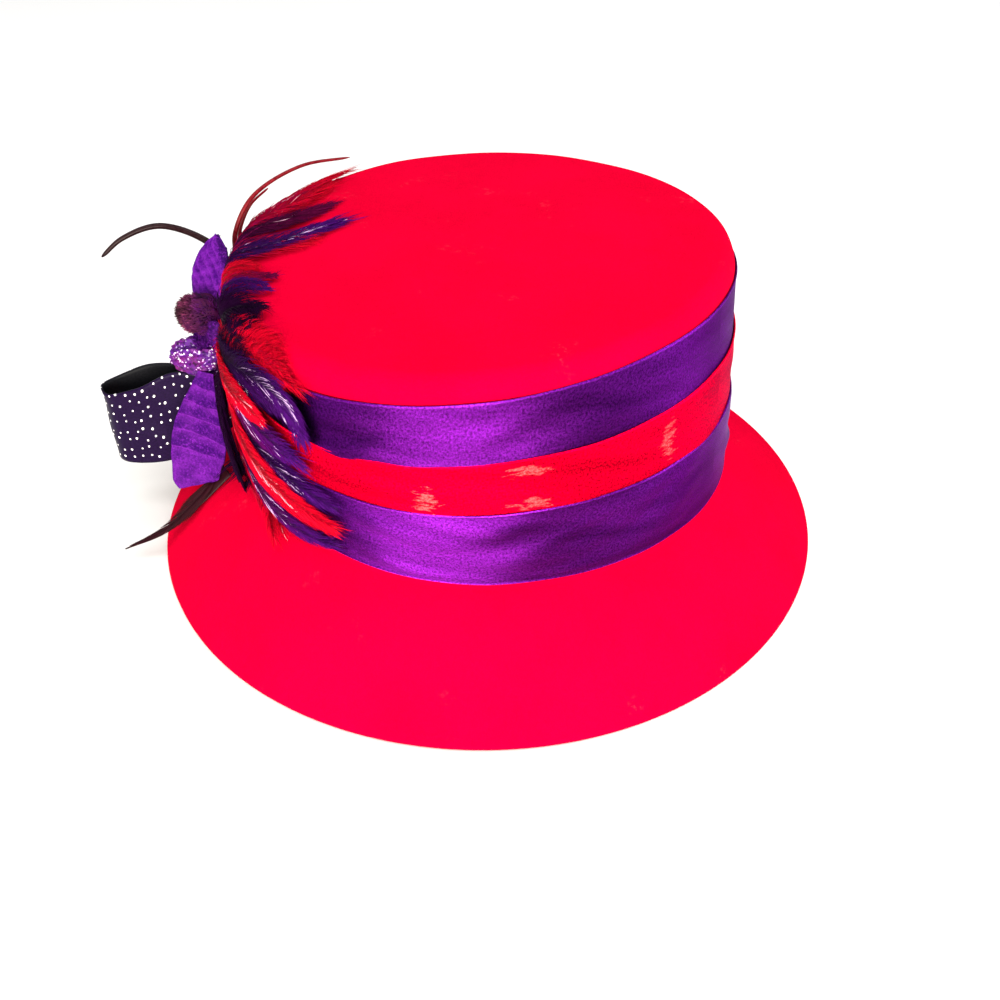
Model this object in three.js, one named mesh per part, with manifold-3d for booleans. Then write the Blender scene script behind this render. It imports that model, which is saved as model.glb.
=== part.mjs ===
// A felt cloche hat with three satin ribbons round its crown and a feather and flower trim on one side.
// Millimetres, +Z up. The origin is the middle of the brim's rim, on the surface that the rim rests on.
// The wearer's front is -Y, and the trim sits at the wearer's right, a little towards the front.
import * as THREE from 'three';
import { mergeVertices } from 'three/addons/utils/BufferGeometryUtils.js';
import Module from 'manifold-3d';

const wasm = await Module();
wasm.setup();

// Felt: one blocked piece, an oval crown with a rolled edge on an oval brim with a flat rim
const FELT = 2.0;
const RIM_HALF_WIDTH = 130.2;
const RIM_HALF_LENGTH = 134.0;
const RIM_EDGE = 1.6;
const RIM_FLAT = 2.0;
const RIM_ROUND = 0.6;
const BRIM_BELLY = 2.5;
const CROWN_HALF_WIDTH = 90.0;
const CROWN_HALF_LENGTH = 94.2;
const CROWN_EGG = 0.075;
const CROWN_TAPER = 0.03;
const CROWN_SHIFT = { x: -4.9, y: -1.5 };
const BASE_HEIGHT = 31.0;
const BASE_LEAN = { x: -2.5, y: -2.1 };
const BASE_FILLET = { out: 0.5, rise: 1.0, inside: 0.6 };
const TOP_HEIGHT = 111.5;
const TOP_LEAN = { x: 1.0, y: 3.0 };
const TOP_ROLL = 6.0;
const TOP_DOME = 2.5;

// The rings that the felt is turned through, as shares of the top's radius, the wall's height and the brim's width
const SEGMENTS = 56;
const TOP_RINGS = { outer: [0.35, 0.68, 0.9], inner: 0.6 };
const ROLL_STEPS = { outer: 4, inner: 3 };
const WALL_RINGS = { outer: [0.7, 0.27], inner: 0.27 };
const BRIM_RINGS = { outer: [0.12, 0.26, 0.42, 0.58, 0.74, 0.88, 1], inner: [0.8, 0.55, 0.3, 0.1] };

// Ribbons: the height of each edge at the crown's axis, and how far it leans up towards +X and +Y, in degrees
const RIBBON = 0.9;
const RIBBON_GAP = 0.4;
const RIBBON_OVERLAP = 4.0;
const RIBBON_STEP = 2 * RIBBON_GAP + RIBBON + 0.3;
const RIBBON_EDGES = {
  foot: { height: 32.4, x: -2.5, y: -2.1 },
  lowerTop: { height: 62.3, x: -0.95, y: -0.3 },
  middleTop: { height: 82.2, x: 1.6, y: 2.0 },
  upperTop: { height: 100.9, x: 3.9, y: 1.9 },
};
const RIBBONS = [
  { name: 'lower_ribbon', finish: 'violetSatin', bottom: 'foot', top: 'lowerTop', drop: 0, stand: RIBBON_STEP },
  { name: 'middle_ribbon', finish: 'redSatin', bottom: 'lowerTop', top: 'middleTop', drop: RIBBON_OVERLAP,
    stand: RIBBON_STEP },
  { name: 'upper_ribbon', finish: 'violetSatin', bottom: 'middleTop', top: 'upperTop', drop: RIBBON_OVERLAP,
    stand: RIBBON_GAP },
];

// A ribbon's section: share of its width from the foot up, inner or outer face, and how far that point stands proud
const RIBBON_SECTION = [
  { share: 0, face: 0, proud: 0.2 },
  { share: 0.06, face: 1, proud: 0 },
  { share: 0.5, face: 1, proud: 0.1 },
  { share: 0.94, face: 1, proud: 0.1 },
  { share: 1, face: 1, proud: -0.2 },
  { share: 1, face: 0, proud: 0.2 },
  { share: 0.5, face: 0, proud: 0.1 },
];

// Trim: it sits where the crown's wall faces this angle, and is placed by how far out of the hat's axis,
// how far along the wall towards the front and how far up each point lies
const TRIM_ANGLE = 205;

// Leaf outlines of the trim's flat pieces: the stem's and the tip's share of the widest width, how far the widest
// place moves to the tip, how full the outline is and how much it narrows to the tip
const OUTLINES = {
  feather: { stem: 0.22, tip: 0.22, skew: 0.8, fullness: 0.8, taper: 0.25 },
  petal: { stem: 0.2, tip: 0.2, skew: 1.15, fullness: 0.6, taper: 0.3 },
  pointedPetal: { stem: 0.35, tip: 0.1, skew: 1, fullness: 0.75, taper: 0 },
  bluntPetal: { stem: 0.25, tip: 0.8, skew: 1.9, fullness: 1, taper: 0 },
  spike: { stem: 0.1, tip: 0.1, skew: 0.6, fullness: 1, taper: 0.5 },
};
const POINT_WIDTH = 0.8;
const EDGE_THINNING = 0.85;

// Feathers: where each tip lies, as an angle round the crown and a distance from the crown's top edge,
// in over the top or, below zero, down the wall; the widest width; and how far the middle springs up
const FEATHER = { root: 1.4, tip: 0.7, steps: 7, slowing: 0.9 };
const FEATHER_ROOT = { angle: 211, level: -30, stand: 4.7 };
const FEATHER_TIP_STAND = 4.6;
const FEATHERS = [
  { angle: 160, level: 8, width: 11, spring: 2.5 },
  { angle: 174, level: 16, width: 12, spring: 3 },
  { angle: 186, level: 37, width: 12, spring: 3 },
  { angle: 200, level: 30, width: 12, spring: 3 },
  { angle: 217, level: 17, width: 14, spring: 3 },
  { angle: 231, level: 12, width: 14, spring: 4 },
  { angle: 246, level: -6, width: 14, spring: 4 },
  { angle: 258, level: -34, width: 13, spring: 3 },
  { angle: 263, level: -56, width: 13, spring: 2 },
  { angle: 262, level: -75, width: 12, spring: 2 },
  { angle: 246, level: -72, width: 12, spring: 2 },
  { angle: 233, level: -70, width: 12, spring: 2 },
];
const BACKING = { width: 34, ends: 0.35, from: -12, to: -60, thickness: 2.4, cup: -1.2, steps: 6 };

// Petals: outline, root, tip and the direction of the width as [out, along, up], the widest width, how far the
// middle bows forward and the edges cup forward, and the number and depth of the creases that cross it
const PETAL = 1.0;
const PETAL_STEPS = 6;
const PETALS = [
  { name: 'upper_petal', outline: 'pointedPetal', root: [104.6, 5, 78], tip: [103.8, -14, 107.5],
    wide: [0.85, -0.53, 0], width: 16.6, bow: 4, cup: -0.6, creases: 0, depth: 0 },
  { name: 'lower_petal', outline: 'bluntPetal', root: [105, 16.4, 67], tip: [113.6, 28.4, 24.2],
    wide: [0.97, -0.2, 0], width: 20, bow: 1, cup: -2, creases: 5, depth: 0.7 },
  { name: 'rear_upper_petal', outline: 'petal', root: [96.5, 1, 75], tip: [110, -28, 81],
    wide: [0.3, 0.2, 0.93], width: 22, bow: 0, cup: 3, creases: 0, depth: 0 },
  { name: 'rear_lower_petal', outline: 'petal', root: [98.2, 0, 67], tip: [111, -25, 45],
    wide: [0.3, 0.5, 0.8], width: 22, bow: 0, cup: 3, creases: 0, depth: 0 },
];

// The flower's fuzzy centre and the gathered bunch of mesh below it: middle and half sizes as [out, along, up]
const CENTRE = { at: [108.8, 8.6, 86.6], half: [5.2, 4.6, 6.6], sides: 12, rings: 8 };
const LOCKS = { count: 30, radius: 1.8, length: 3.2, sunk: 1.4, backLimit: -0.3, sides: 4 };
const BUNCH = { at: [107.7, 8.5, 69.5], half: [11.9, 6.2, 6.8], folds: 7, depth: 0.16, rings: 8 };

// The dotted ribbon: a slim upright loop, gathered where it is bound in under the flower
const LOOP_THICKNESS = 1.0;
const LOOP_STEPS = 30;
const LOOP = [
  { out: 98.6, along: 6, foot: 40, head: 56 },
  { out: 104, along: 8.5, foot: 36, head: 60 },
  { out: 119, along: 10, foot: 27, head: 63 },
  { out: 134, along: 11.5, foot: 22.5, head: 57 },
  { out: 147, along: 9.5, foot: 22, head: 53 },
  { out: 151, along: 3.5, foot: 22, head: 53.5 },
  { out: 147, along: -2.5, foot: 22, head: 54 },
  { out: 134, along: -5, foot: 22.5, head: 58 },
  { out: 119, along: -3, foot: 27, head: 59 },
  { out: 104, along: 2, foot: 36, head: 57 },
];

// Quills: the points that each follows as [out, along, up], and its thickness at the root and at the tip
const QUILL_SIDES = 6;
const QUILL_STEPS = 5;
const QUILLS = [
  { name: 'dark_quill', finish: 'darkQuill', root: 3, tip: 1.4,
    path: [[98.8, -16, 93.5], [107, -20, 102], [121.5, -14, 110.5], [134, -8, 108], [142, -5, 102]] },
  { name: 'red_quill_long', finish: 'redQuill', root: 2.2, tip: 1,
    path: [[98.4, -24, 97], [97.4, -24, 104], [90.5, -28, 116], [75, -46, 122], [57.5, -61, 121]] },
  { name: 'red_quill_short', finish: 'redQuill', root: 1.6, tip: 0.8,
    path: [[98, -29, 98], [96.6, -29.5, 104], [92.2, -32, 112], [86, -38, 116.5]] },
];

// The dark pointed feather that lies over the brim
const SPIKE = {
  path: [[103, 32.8, 26], [114, 36, 16.9], [126, 39.3, 8.8], [140.5, 43.2, 4.2]],
  width: 11,
  thickness: 1,
  steps: 8,
};

const FINISHES = {
  felt: { color: 0xe8002c, roughness: 0.95 },
  violetSatin: { color: 0x4b0082, roughness: 0.35 },
  redSatin: { color: 0xd8001c, roughness: 0.35 },
  plume: { color: 0xb00028, roughness: 0.8 },
  petalCloth: { color: 0x6a1fa8, roughness: 0.7 },
  fuzz: { color: 0x4a1a4a, roughness: 0.95 },
  glitterMesh: { color: 0x6a2a9a, roughness: 0.5 },
  dottedSatin: { color: 0x1e1030, roughness: 0.45 },
  darkQuill: { color: 0x2a1018, roughness: 0.5 },
  redQuill: { color: 0x9a0a18, roughness: 0.5 },
  darkFeather: { color: 0x3a0a14, roughness: 0.8 },
};

const { clamp, degToRad, lerp } = THREE.MathUtils;
const CROWN_MEAN = (CROWN_HALF_WIDTH + CROWN_HALF_LENGTH) / 2;
const RIM_MEAN = (RIM_HALF_WIDTH + RIM_HALF_LENGTH) / 2;
const ROLL_RADIUS = CROWN_MEAN - TOP_ROLL;
const UP = new THREE.Vector3(0, 0, 1);

// How far a leaning edge rises at a place in the plan
function leanRise(lean, plan) {
  return Math.tan(degToRad(lean.x)) * plan.x + Math.tan(degToRad(lean.y)) * plan.y;
}

// The hat's plan at an angle: the crown's egg-shaped oval, and the rim's oval
function crownPlan(angle) {
  const x = CROWN_HALF_WIDTH * Math.cos(angle) * (1 + CROWN_EGG * Math.sin(angle));
  return new THREE.Vector2(x, CROWN_HALF_LENGTH * Math.sin(angle));
}

function rimPlan(angle) {
  return new THREE.Vector2(RIM_HALF_WIDTH * Math.cos(angle), RIM_HALF_LENGTH * Math.sin(angle));
}

// How far up the crown's wall a height lies, from 0 at the base to 1 at the top
function wallShare(height) {
  return clamp((height - BASE_HEIGHT) / (TOP_HEIGHT - BASE_HEIGHT), 0, 1);
}

// The crown's slight taper and sideways shift at a height
function wallShift(plan, z) {
  const share = wallShare(z);
  const scale = 1 - CROWN_TAPER * share;
  return new THREE.Vector3(plan.x * scale + CROWN_SHIFT.x * share, plan.y * scale + CROWN_SHIFT.y * share, z);
}

// A point of the hat from a round hat's radius and height: the plan turns oval, and the levels lean
function hatPoint(angle, radius, height) {
  const plan = crownPlan(angle).multiplyScalar(Math.min(radius, CROWN_MEAN) / CROWN_MEAN);
  if (radius > CROWN_MEAN) {
    plan.lerp(rimPlan(angle), (radius - CROWN_MEAN) / (RIM_MEAN - CROWN_MEAN));
  }
  const lift = lerp(leanRise(BASE_LEAN, plan), leanRise(TOP_LEAN, plan), wallShare(height));
  return wallShift(plan, height + lift * clamp(height / BASE_HEIGHT, 0, 1));
}

// A point that stands off the crown's outer wall
function wallPoint(angle, z, standOff) {
  return wallShift(crownPlan(angle).multiplyScalar(1 + standOff / CROWN_MEAN), z);
}

// Keeps only positions and joins shared corners, so that a solid is closed
function welded(geometry) {
  geometry.deleteAttribute('normal');
  geometry.deleteAttribute('uv');
  return mergeVertices(geometry, 1e-4);
}

// A closed solid turned from a closed profile and bent by a rule for each of its points
function turned(profile, place) {
  const geometry = new THREE.LatheGeometry(profile, SEGMENTS);
  const position = geometry.attributes.position;
  const count = profile.length;
  for (let i = 0; i < position.count; i += 1) {
    const turn = Math.floor(i / count) % SEGMENTS;
    const at = profile[i % count];
    const point = place(-(turn / SEGMENTS) * 2 * Math.PI, at.x, at.y);
    position.setXYZ(i, point.x, point.y, point.z);
  }
  return welded(geometry);
}

function mesh(name, geometry, finish) {
  const piece = new THREE.Mesh(geometry, new THREE.MeshStandardMaterial({ ...FINISHES[finish], metalness: 0 }));
  piece.name = name;
  return piece;
}

// The top's height at a share of its radius, slightly domed
function domeHeight(share) {
  return TOP_HEIGHT + TOP_DOME * (1 - share * share);
}

// The brim's height on its way from the crown, 0, to the rim, 1
function brimHeight(reach) {
  return lerp(BASE_HEIGHT, RIM_EDGE, reach) + 4 * BRIM_BELLY * reach * (1 - reach);
}

// The roll where the top turns down into the wall, from its inner end to its outer end
function rollPoints(steps, radius, height) {
  const points = [];
  for (let i = 0; i <= steps; i += 1) {
    const turn = (i / steps) * Math.PI / 2;
    points.push(new THREE.Vector2(ROLL_RADIUS + radius * Math.sin(turn), height - radius * (1 - Math.cos(turn))));
  }
  return points;
}

// The felt's outer line from the top's middle to the rim
function feltOutline() {
  const outer = [new THREE.Vector2(0, domeHeight(0))];
  for (const share of TOP_RINGS.outer) {
    outer.push(new THREE.Vector2(ROLL_RADIUS * share, domeHeight(share)));
  }
  outer.push(...rollPoints(ROLL_STEPS.outer, TOP_ROLL, TOP_HEIGHT));
  for (const share of WALL_RINGS.outer) {
    outer.push(new THREE.Vector2(CROWN_MEAN, lerp(BASE_HEIGHT, TOP_HEIGHT, share)));
  }
  outer.push(new THREE.Vector2(CROWN_MEAN, BASE_HEIGHT + BASE_FILLET.rise));
  outer.push(new THREE.Vector2(CROWN_MEAN + BASE_FILLET.out, BASE_HEIGHT));
  for (const reach of BRIM_RINGS.outer) {
    outer.push(new THREE.Vector2(lerp(CROWN_MEAN, RIM_MEAN, reach), brimHeight(reach)));
  }
  return outer;
}

// The brim's inner face, one felt's thickness square below its outer face
function brimUnderside(reach) {
  const near = 0.05;
  const run = 2 * near * (RIM_MEAN - CROWN_MEAN);
  const slope = (brimHeight(reach + near) - brimHeight(reach - near)) / run;
  const steep = Math.hypot(1, slope);
  const radius = lerp(CROWN_MEAN, RIM_MEAN, reach) + FELT * slope / steep;
  return new THREE.Vector2(radius, brimHeight(reach) - FELT / steep);
}

// The outer line, the rim's flat foot, and the inner line back to the middle
function feltProfile() {
  const wallRadius = CROWN_MEAN - FELT;
  const rimFoot = RIM_MEAN - RIM_ROUND;
  return [
    ...feltOutline(),
    new THREE.Vector2(rimFoot, 0),
    new THREE.Vector2(rimFoot - RIM_FLAT, 0),
    ...BRIM_RINGS.inner.map(brimUnderside),
    new THREE.Vector2(wallRadius, BASE_HEIGHT - BASE_FILLET.inside),
    new THREE.Vector2(wallRadius, lerp(BASE_HEIGHT, TOP_HEIGHT, WALL_RINGS.inner)),
    ...rollPoints(ROLL_STEPS.inner, TOP_ROLL - FELT, TOP_HEIGHT - FELT).reverse(),
    new THREE.Vector2(ROLL_RADIUS * TOP_RINGS.inner, domeHeight(TOP_RINGS.inner) - FELT),
    new THREE.Vector2(0, domeHeight(0) - FELT),
  ];
}

// A ribbon between two leaning edges; its foot lies on the felt, and its top stands off what is behind it.
// The profile only numbers the section's points, and the rule puts each of them on the wall.
function ribbonGeometry(row) {
  const bottom = RIBBON_EDGES[row.bottom];
  const top = RIBBON_EDGES[row.top];
  const profile = RIBBON_SECTION.map((at, i) => new THREE.Vector2(i + 1, i));
  profile.push(profile[0].clone());
  profile.reverse();
  return turned(profile, (angle, mark) => {
    const at = RIBBON_SECTION[Math.round(mark) - 1];
    const plan = crownPlan(angle);
    const footLevel = bottom.height - row.drop + leanRise(bottom, plan);
    const topLevel = top.height + leanRise(top, plan);
    const standOff = lerp(RIBBON_GAP, row.stand, at.share) + RIBBON * at.face + at.proud;
    return wallPoint(angle, lerp(footLevel, topLevel, at.share), standOff);
  });
}

// The trim's directions: out of the hat, along the wall towards the front, and up
const OUT = new THREE.Vector3(Math.cos(degToRad(TRIM_ANGLE)), Math.sin(degToRad(TRIM_ANGLE)), 0);
const ALONG = new THREE.Vector3(-OUT.y, OUT.x, 0);

function trimVector([out, along, up]) {
  return new THREE.Vector3().addScaledVector(OUT, out).addScaledVector(ALONG, along).addScaledVector(UP, up);
}

function trimCurve(path, closed = false) {
  return new THREE.CatmullRomCurve3(path.map(trimVector), closed);
}

// The felt's outer line as a path; its levels are measured from where the wall turns in over the top
const FELT_LINE = feltOutline();
const WALL_TOP = FELT_LINE.findIndex((at) => at.x > CROWN_MEAN - BASE_FILLET.out / 2);

function stepLength(i) {
  return FELT_LINE[i].distanceTo(FELT_LINE[i + 1]);
}

// A point off the felt at an angle and a level: above zero in over the top, below zero down the wall and brim
function skinPoint(angle, level, stand) {
  let left = -level;
  for (let i = 0; i < WALL_TOP; i += 1) {
    left += stepLength(i);
  }
  let i = 0;
  while (i < FELT_LINE.length - 2 && left > stepLength(i)) {
    left -= stepLength(i);
    i += 1;
  }
  const step = FELT_LINE[i + 1].clone().sub(FELT_LINE[i]).normalize();
  const at = FELT_LINE[i].clone().addScaledVector(step, left);
  const point = hatPoint(degToRad(angle), at.x, at.y);
  const inside = hatPoint(degToRad(angle), at.x + step.y, at.y - step.x);
  return point.addScaledVector(point.clone().sub(inside).normalize(), stand);
}

// A closed solid through rings of points, capped at both ends or joined end to end
function lofted(rings, endToEnd = false) {
  const sides = rings[0].length;
  const index = [];
  const spans = endToEnd ? rings.length : rings.length - 1;
  for (let r = 0; r < spans; r += 1) {
    const here = r * sides;
    const next = ((r + 1) % rings.length) * sides;
    for (let k = 0; k < sides; k += 1) {
      const beside = (k + 1) % sides;
      index.push(here + k, here + beside, next + beside);
      index.push(here + k, next + beside, next + k);
    }
  }
  const last = (rings.length - 1) * sides;
  for (let k = 1; k + 1 < sides && !endToEnd; k += 1) {
    index.push(0, k + 1, k);
    index.push(last, last + k, last + k + 1);
  }
  const geometry = new THREE.BufferGeometry().setFromPoints(rings.flat());
  geometry.setIndex(index);
  return geometry;
}

// A point of a flat section, at a share v of its half width, on its front face, 1, or its back face, -1
function sectionPoint(at, v, face) {
  const thick = Math.abs(v) === 1 ? 0 : at.thickness / 2 * Math.sqrt(1 - EDGE_THINNING * v * v);
  return at.middle.clone()
    .addScaledVector(at.side, v * at.width / 2)
    .addScaledVector(at.face, (at.cup ?? 0) * v * v + (at.lift ?? 0) + face * thick);
}

// A flat strip through sections that each have a middle, a side direction, a face direction and sizes
function strip(stations, across) {
  const rings = stations.map((at) => {
    const front = across.map((v) => sectionPoint(at, v, 1));
    const back = across.slice(1, -1).reverse().map((v) => sectionPoint(at, v, -1));
    return [...front, ...back].reverse();
  });
  return lofted(rings);
}

// A leaf's share of its widest width on its way from the root, 0, to the tip, 1
function leafWidth(outline, u) {
  const round = Math.sin(Math.PI * Math.pow(u, outline.skew));
  const full = Math.pow(Math.max(round, 0), outline.fullness) * (1 - outline.taper * u);
  const ends = lerp(outline.stem, outline.tip, u);
  return ends + (1 - ends) * full;
}

// The place of a feather's rib at a share u of its length
function ribPoint(row, u, stand = 0) {
  const angle = lerp(FEATHER_ROOT.angle, row.angle, u);
  const level = lerp(FEATHER_ROOT.level, row.level, Math.pow(u, FEATHER.slowing));
  const spring = row.spring * Math.sin(Math.PI * u);
  return skinPoint(angle, level, lerp(FEATHER_ROOT.stand, FEATHER_TIP_STAND, u) + spring + stand);
}

function feather(row) {
  const near = 0.05;
  const stations = [];
  for (let i = 0; i <= FEATHER.steps; i += 1) {
    const u = i / FEATHER.steps;
    const middle = ribPoint(row, u);
    const face = middle.clone().sub(ribPoint(row, u, -1)).normalize();
    const run = ribPoint(row, Math.min(u + near, 1)).sub(ribPoint(row, Math.max(u - near, 0)));
    const side = new THREE.Vector3().crossVectors(face, run).normalize();
    const width = i === FEATHER.steps ? POINT_WIDTH : row.width * leafWidth(OUTLINES.feather, u);
    stations.push({ middle, face, side, width, thickness: lerp(FEATHER.root, FEATHER.tip, u) });
  }
  return strip(stations, [-1, 0, 1]);
}

// The backing that the feathers are bound to, a shaped pad against the crown's wall
function backing() {
  const stations = [];
  for (let i = 0; i <= BACKING.steps; i += 1) {
    const u = i / BACKING.steps;
    const level = lerp(BACKING.from, BACKING.to, u);
    const middle = skinPoint(FEATHER_ROOT.angle, level, FEATHER_ROOT.stand);
    const face = middle.clone().sub(skinPoint(FEATHER_ROOT.angle, level, 0)).normalize();
    const side = new THREE.Vector3().crossVectors(UP, face).normalize();
    const width = BACKING.width * lerp(BACKING.ends, 1, Math.sin(Math.PI * u));
    stations.push({ middle, face, side, width, thickness: BACKING.thickness, cup: BACKING.cup });
  }
  return strip(stations, [-1, -0.5, 0, 0.5, 1]);
}

// Solids joined into one body
function fused(geometries) {
  let whole = null;
  for (const geometry of geometries) {
    const clean = welded(geometry);
    const solid = new wasm.Manifold(new wasm.Mesh({
      numProp: 3,
      vertProperties: new Float32Array(clean.attributes.position.array),
      triVerts: new Uint32Array(clean.index.array),
    }));
    whole = whole ? whole.add(solid) : solid;
  }
  const joined = whole.getMesh();
  const geometry = new THREE.BufferGeometry();
  geometry.setAttribute('position', new THREE.BufferAttribute(joined.vertProperties, 3));
  geometry.setIndex(new THREE.BufferAttribute(joined.triVerts, 1));
  return geometry;
}

// A cupped cloth petal with creases across it
function petal(row) {
  const root = trimVector(row.root);
  const tip = trimVector(row.tip);
  const run = tip.clone().sub(root).normalize();
  const wide = trimVector(row.wide);
  const side = wide.clone().addScaledVector(run, -wide.dot(run)).normalize();
  const face = new THREE.Vector3().crossVectors(run, side).normalize();
  const steps = row.creases ? row.creases * 2 : PETAL_STEPS;
  const stations = [];
  for (let i = 0; i <= steps; i += 1) {
    const u = i / steps;
    const middle = root.clone().lerp(tip, u).addScaledVector(face, row.bow * Math.sin(Math.PI * u));
    const width = row.width * leafWidth(OUTLINES[row.outline], u);
    const cup = row.cup * Math.sin(Math.PI * u);
    stations.push({ middle, face, side, width, thickness: PETAL, cup, lift: row.depth * (i % 2) });
  }
  return strip(stations, [-1, -0.5, 0, 0.5, 1]);
}

// A unit shape placed and stretched in the trim's directions
function trimPlaced(geometry, at, half) {
  const frame = new THREE.Matrix4().makeBasis(
    OUT.clone().multiplyScalar(half[0]),
    ALONG.clone().multiplyScalar(half[1]),
    UP.clone().multiplyScalar(half[2]),
  );
  frame.setPosition(trimVector(at));
  return geometry.applyMatrix4(frame);
}

// Directions spread evenly over a ball by the golden turn
function spreadDirection(i, count) {
  const goldenTurn = Math.PI * (3 - Math.sqrt(5));
  const lift = 1 - 2 * (i + 0.5) / count;
  const ring = Math.sqrt(1 - lift * lift);
  return new THREE.Vector3(ring * Math.cos(goldenTurn * i), ring * Math.sin(goldenTurn * i), lift);
}

// The flower's centre: a flattened head with short locks all over it, but for its back
function flowerCentre() {
  const half = new THREE.Vector3(...CENTRE.half);
  const locks = [];
  for (let i = 0; i < LOCKS.count; i += 1) {
    const direction = spreadDirection(i, LOCKS.count);
    if (direction.x < LOCKS.backLimit) {
      continue;
    }
    const lock = new THREE.ConeGeometry(LOCKS.radius, LOCKS.length, LOCKS.sides, 1);
    lock.translate(0, LOCKS.length / 2 - LOCKS.sunk, 0);
    const axis = trimVector(direction.toArray());
    lock.applyQuaternion(new THREE.Quaternion().setFromUnitVectors(new THREE.Vector3(0, 1, 0), axis));
    const place = trimVector(CENTRE.at).add(trimVector(direction.multiply(half).toArray()));
    locks.push(lock.translate(place.x, place.y, place.z));
  }
  const head = trimPlaced(new THREE.SphereGeometry(1, CENTRE.sides, CENTRE.rings), CENTRE.at, CENTRE.half);
  return fused([head, ...locks]);
}

// The gathered bunch: a ball of mesh with folds that run in from its edge
function glitterBunch() {
  const sidesPerFold = 4;
  const ball = new THREE.SphereGeometry(1, sidesPerFold * BUNCH.folds, BUNCH.rings);
  const position = ball.attributes.position;
  for (let i = 0; i < position.count; i += 1) {
    const x = position.getX(i);
    const z = position.getZ(i);
    const fold = 1 + BUNCH.depth * Math.cos(BUNCH.folds * Math.atan2(z, x));
    position.setXYZ(i, position.getY(i), z * fold, x * fold);
  }
  return welded(trimPlaced(ball, BUNCH.at, BUNCH.half));
}

// The dotted ribbon's loop, from its lower and its upper edge
function dottedRibbon() {
  const lowerEdge = trimCurve(LOOP.map((at) => [at.out, at.along, at.foot]), true);
  const upperEdge = trimCurve(LOOP.map((at) => [at.out, at.along, at.head]), true);
  const rings = [];
  for (let i = 0; i < LOOP_STEPS; i += 1) {
    const share = i / LOOP_STEPS;
    const lower = lowerEdge.getPoint(share);
    const upper = upperEdge.getPoint(share);
    const across = new THREE.Vector3().crossVectors(UP, lowerEdge.getTangent(share));
    across.setZ(0).setLength(LOOP_THICKNESS / 2);
    rings.push([
      lower.clone().sub(across),
      lower.clone().add(across),
      upper.clone().add(across),
      upper.clone().sub(across),
    ]);
  }
  return welded(lofted(rings, true));
}

// A tapered quill along a smooth path
function quill(row) {
  const curve = trimCurve(row.path);
  const steps = QUILL_STEPS * (row.path.length - 1);
  const frames = curve.computeFrenetFrames(steps);
  const rings = [];
  for (let i = 0; i <= steps; i += 1) {
    const at = curve.getPointAt(i / steps);
    const radius = lerp(row.root, row.tip, i / steps) / 2;
    const ring = [];
    for (let k = 0; k < QUILL_SIDES; k += 1) {
      const turn = (k / QUILL_SIDES) * 2 * Math.PI;
      const spoke = frames.normals[i].clone().multiplyScalar(Math.cos(turn));
      spoke.addScaledVector(frames.binormals[i], Math.sin(turn));
      ring.push(at.clone().addScaledVector(spoke, radius));
    }
    rings.push(ring);
  }
  return welded(lofted(rings));
}

// The pointed feather, flat on its back
function spikeFeather() {
  const curve = trimCurve(SPIKE.path);
  const stations = [];
  for (let i = 0; i <= SPIKE.steps; i += 1) {
    const u = i / SPIKE.steps;
    const run = curve.getTangentAt(u);
    const side = new THREE.Vector3().crossVectors(UP, run).normalize();
    const face = new THREE.Vector3().crossVectors(run, side);
    const width = i === SPIKE.steps ? POINT_WIDTH : SPIKE.width * leafWidth(OUTLINES.spike, u);
    stations.push({ middle: curve.getPointAt(u), face, side, width, thickness: SPIKE.thickness });
  }
  return welded(strip(stations, [-1, 0, 1]));
}

const hat = new THREE.Group();
hat.add(mesh('felt_body', turned(feltProfile(), hatPoint), 'felt'));
for (const row of RIBBONS) {
  hat.add(mesh(row.name, ribbonGeometry(row), row.finish));
}
hat.add(mesh('feather_plume', fused([backing(), ...FEATHERS.map(feather)]), 'plume'));
for (const row of PETALS) {
  hat.add(mesh(row.name, welded(petal(row)), 'petalCloth'));
}
hat.add(mesh('flower_centre', flowerCentre(), 'fuzz'));
hat.add(mesh('glitter_bunch', glitterBunch(), 'glitterMesh'));
hat.add(mesh('dotted_ribbon', dottedRibbon(), 'dottedSatin'));
for (const row of QUILLS) {
  hat.add(mesh(row.name, quill(row), row.finish));
}
hat.add(mesh('spike_feather', spikeFeather(), 'darkFeather'));

export default hat;
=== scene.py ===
"""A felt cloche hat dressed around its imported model: felt, satin ribbons, feather plume and flower trim."""
import math

import bpy
import numpy as np
from bpy.props import FloatProperty, FloatVectorProperty, IntProperty, PointerProperty
from mathutils import Matrix, Vector


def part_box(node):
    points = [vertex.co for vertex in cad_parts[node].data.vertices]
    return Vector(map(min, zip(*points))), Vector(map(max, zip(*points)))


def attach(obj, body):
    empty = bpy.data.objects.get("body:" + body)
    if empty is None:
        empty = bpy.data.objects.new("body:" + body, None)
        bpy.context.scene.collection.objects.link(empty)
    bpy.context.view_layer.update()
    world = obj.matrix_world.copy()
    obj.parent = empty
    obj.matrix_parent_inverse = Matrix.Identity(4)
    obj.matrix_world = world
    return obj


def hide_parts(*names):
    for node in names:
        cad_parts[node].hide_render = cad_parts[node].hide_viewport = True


bl_info = {
    "name": "Felt Cloche Hat",
    "version": (1, 0, 0),
    "blender": (4, 5, 0),
    "location": "View3D > Sidebar > Hat",
    "description": "Dresses a felt cloche hat with satin ribbons, a feather plume and a flower trim",
    "category": "Object",
}

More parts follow.
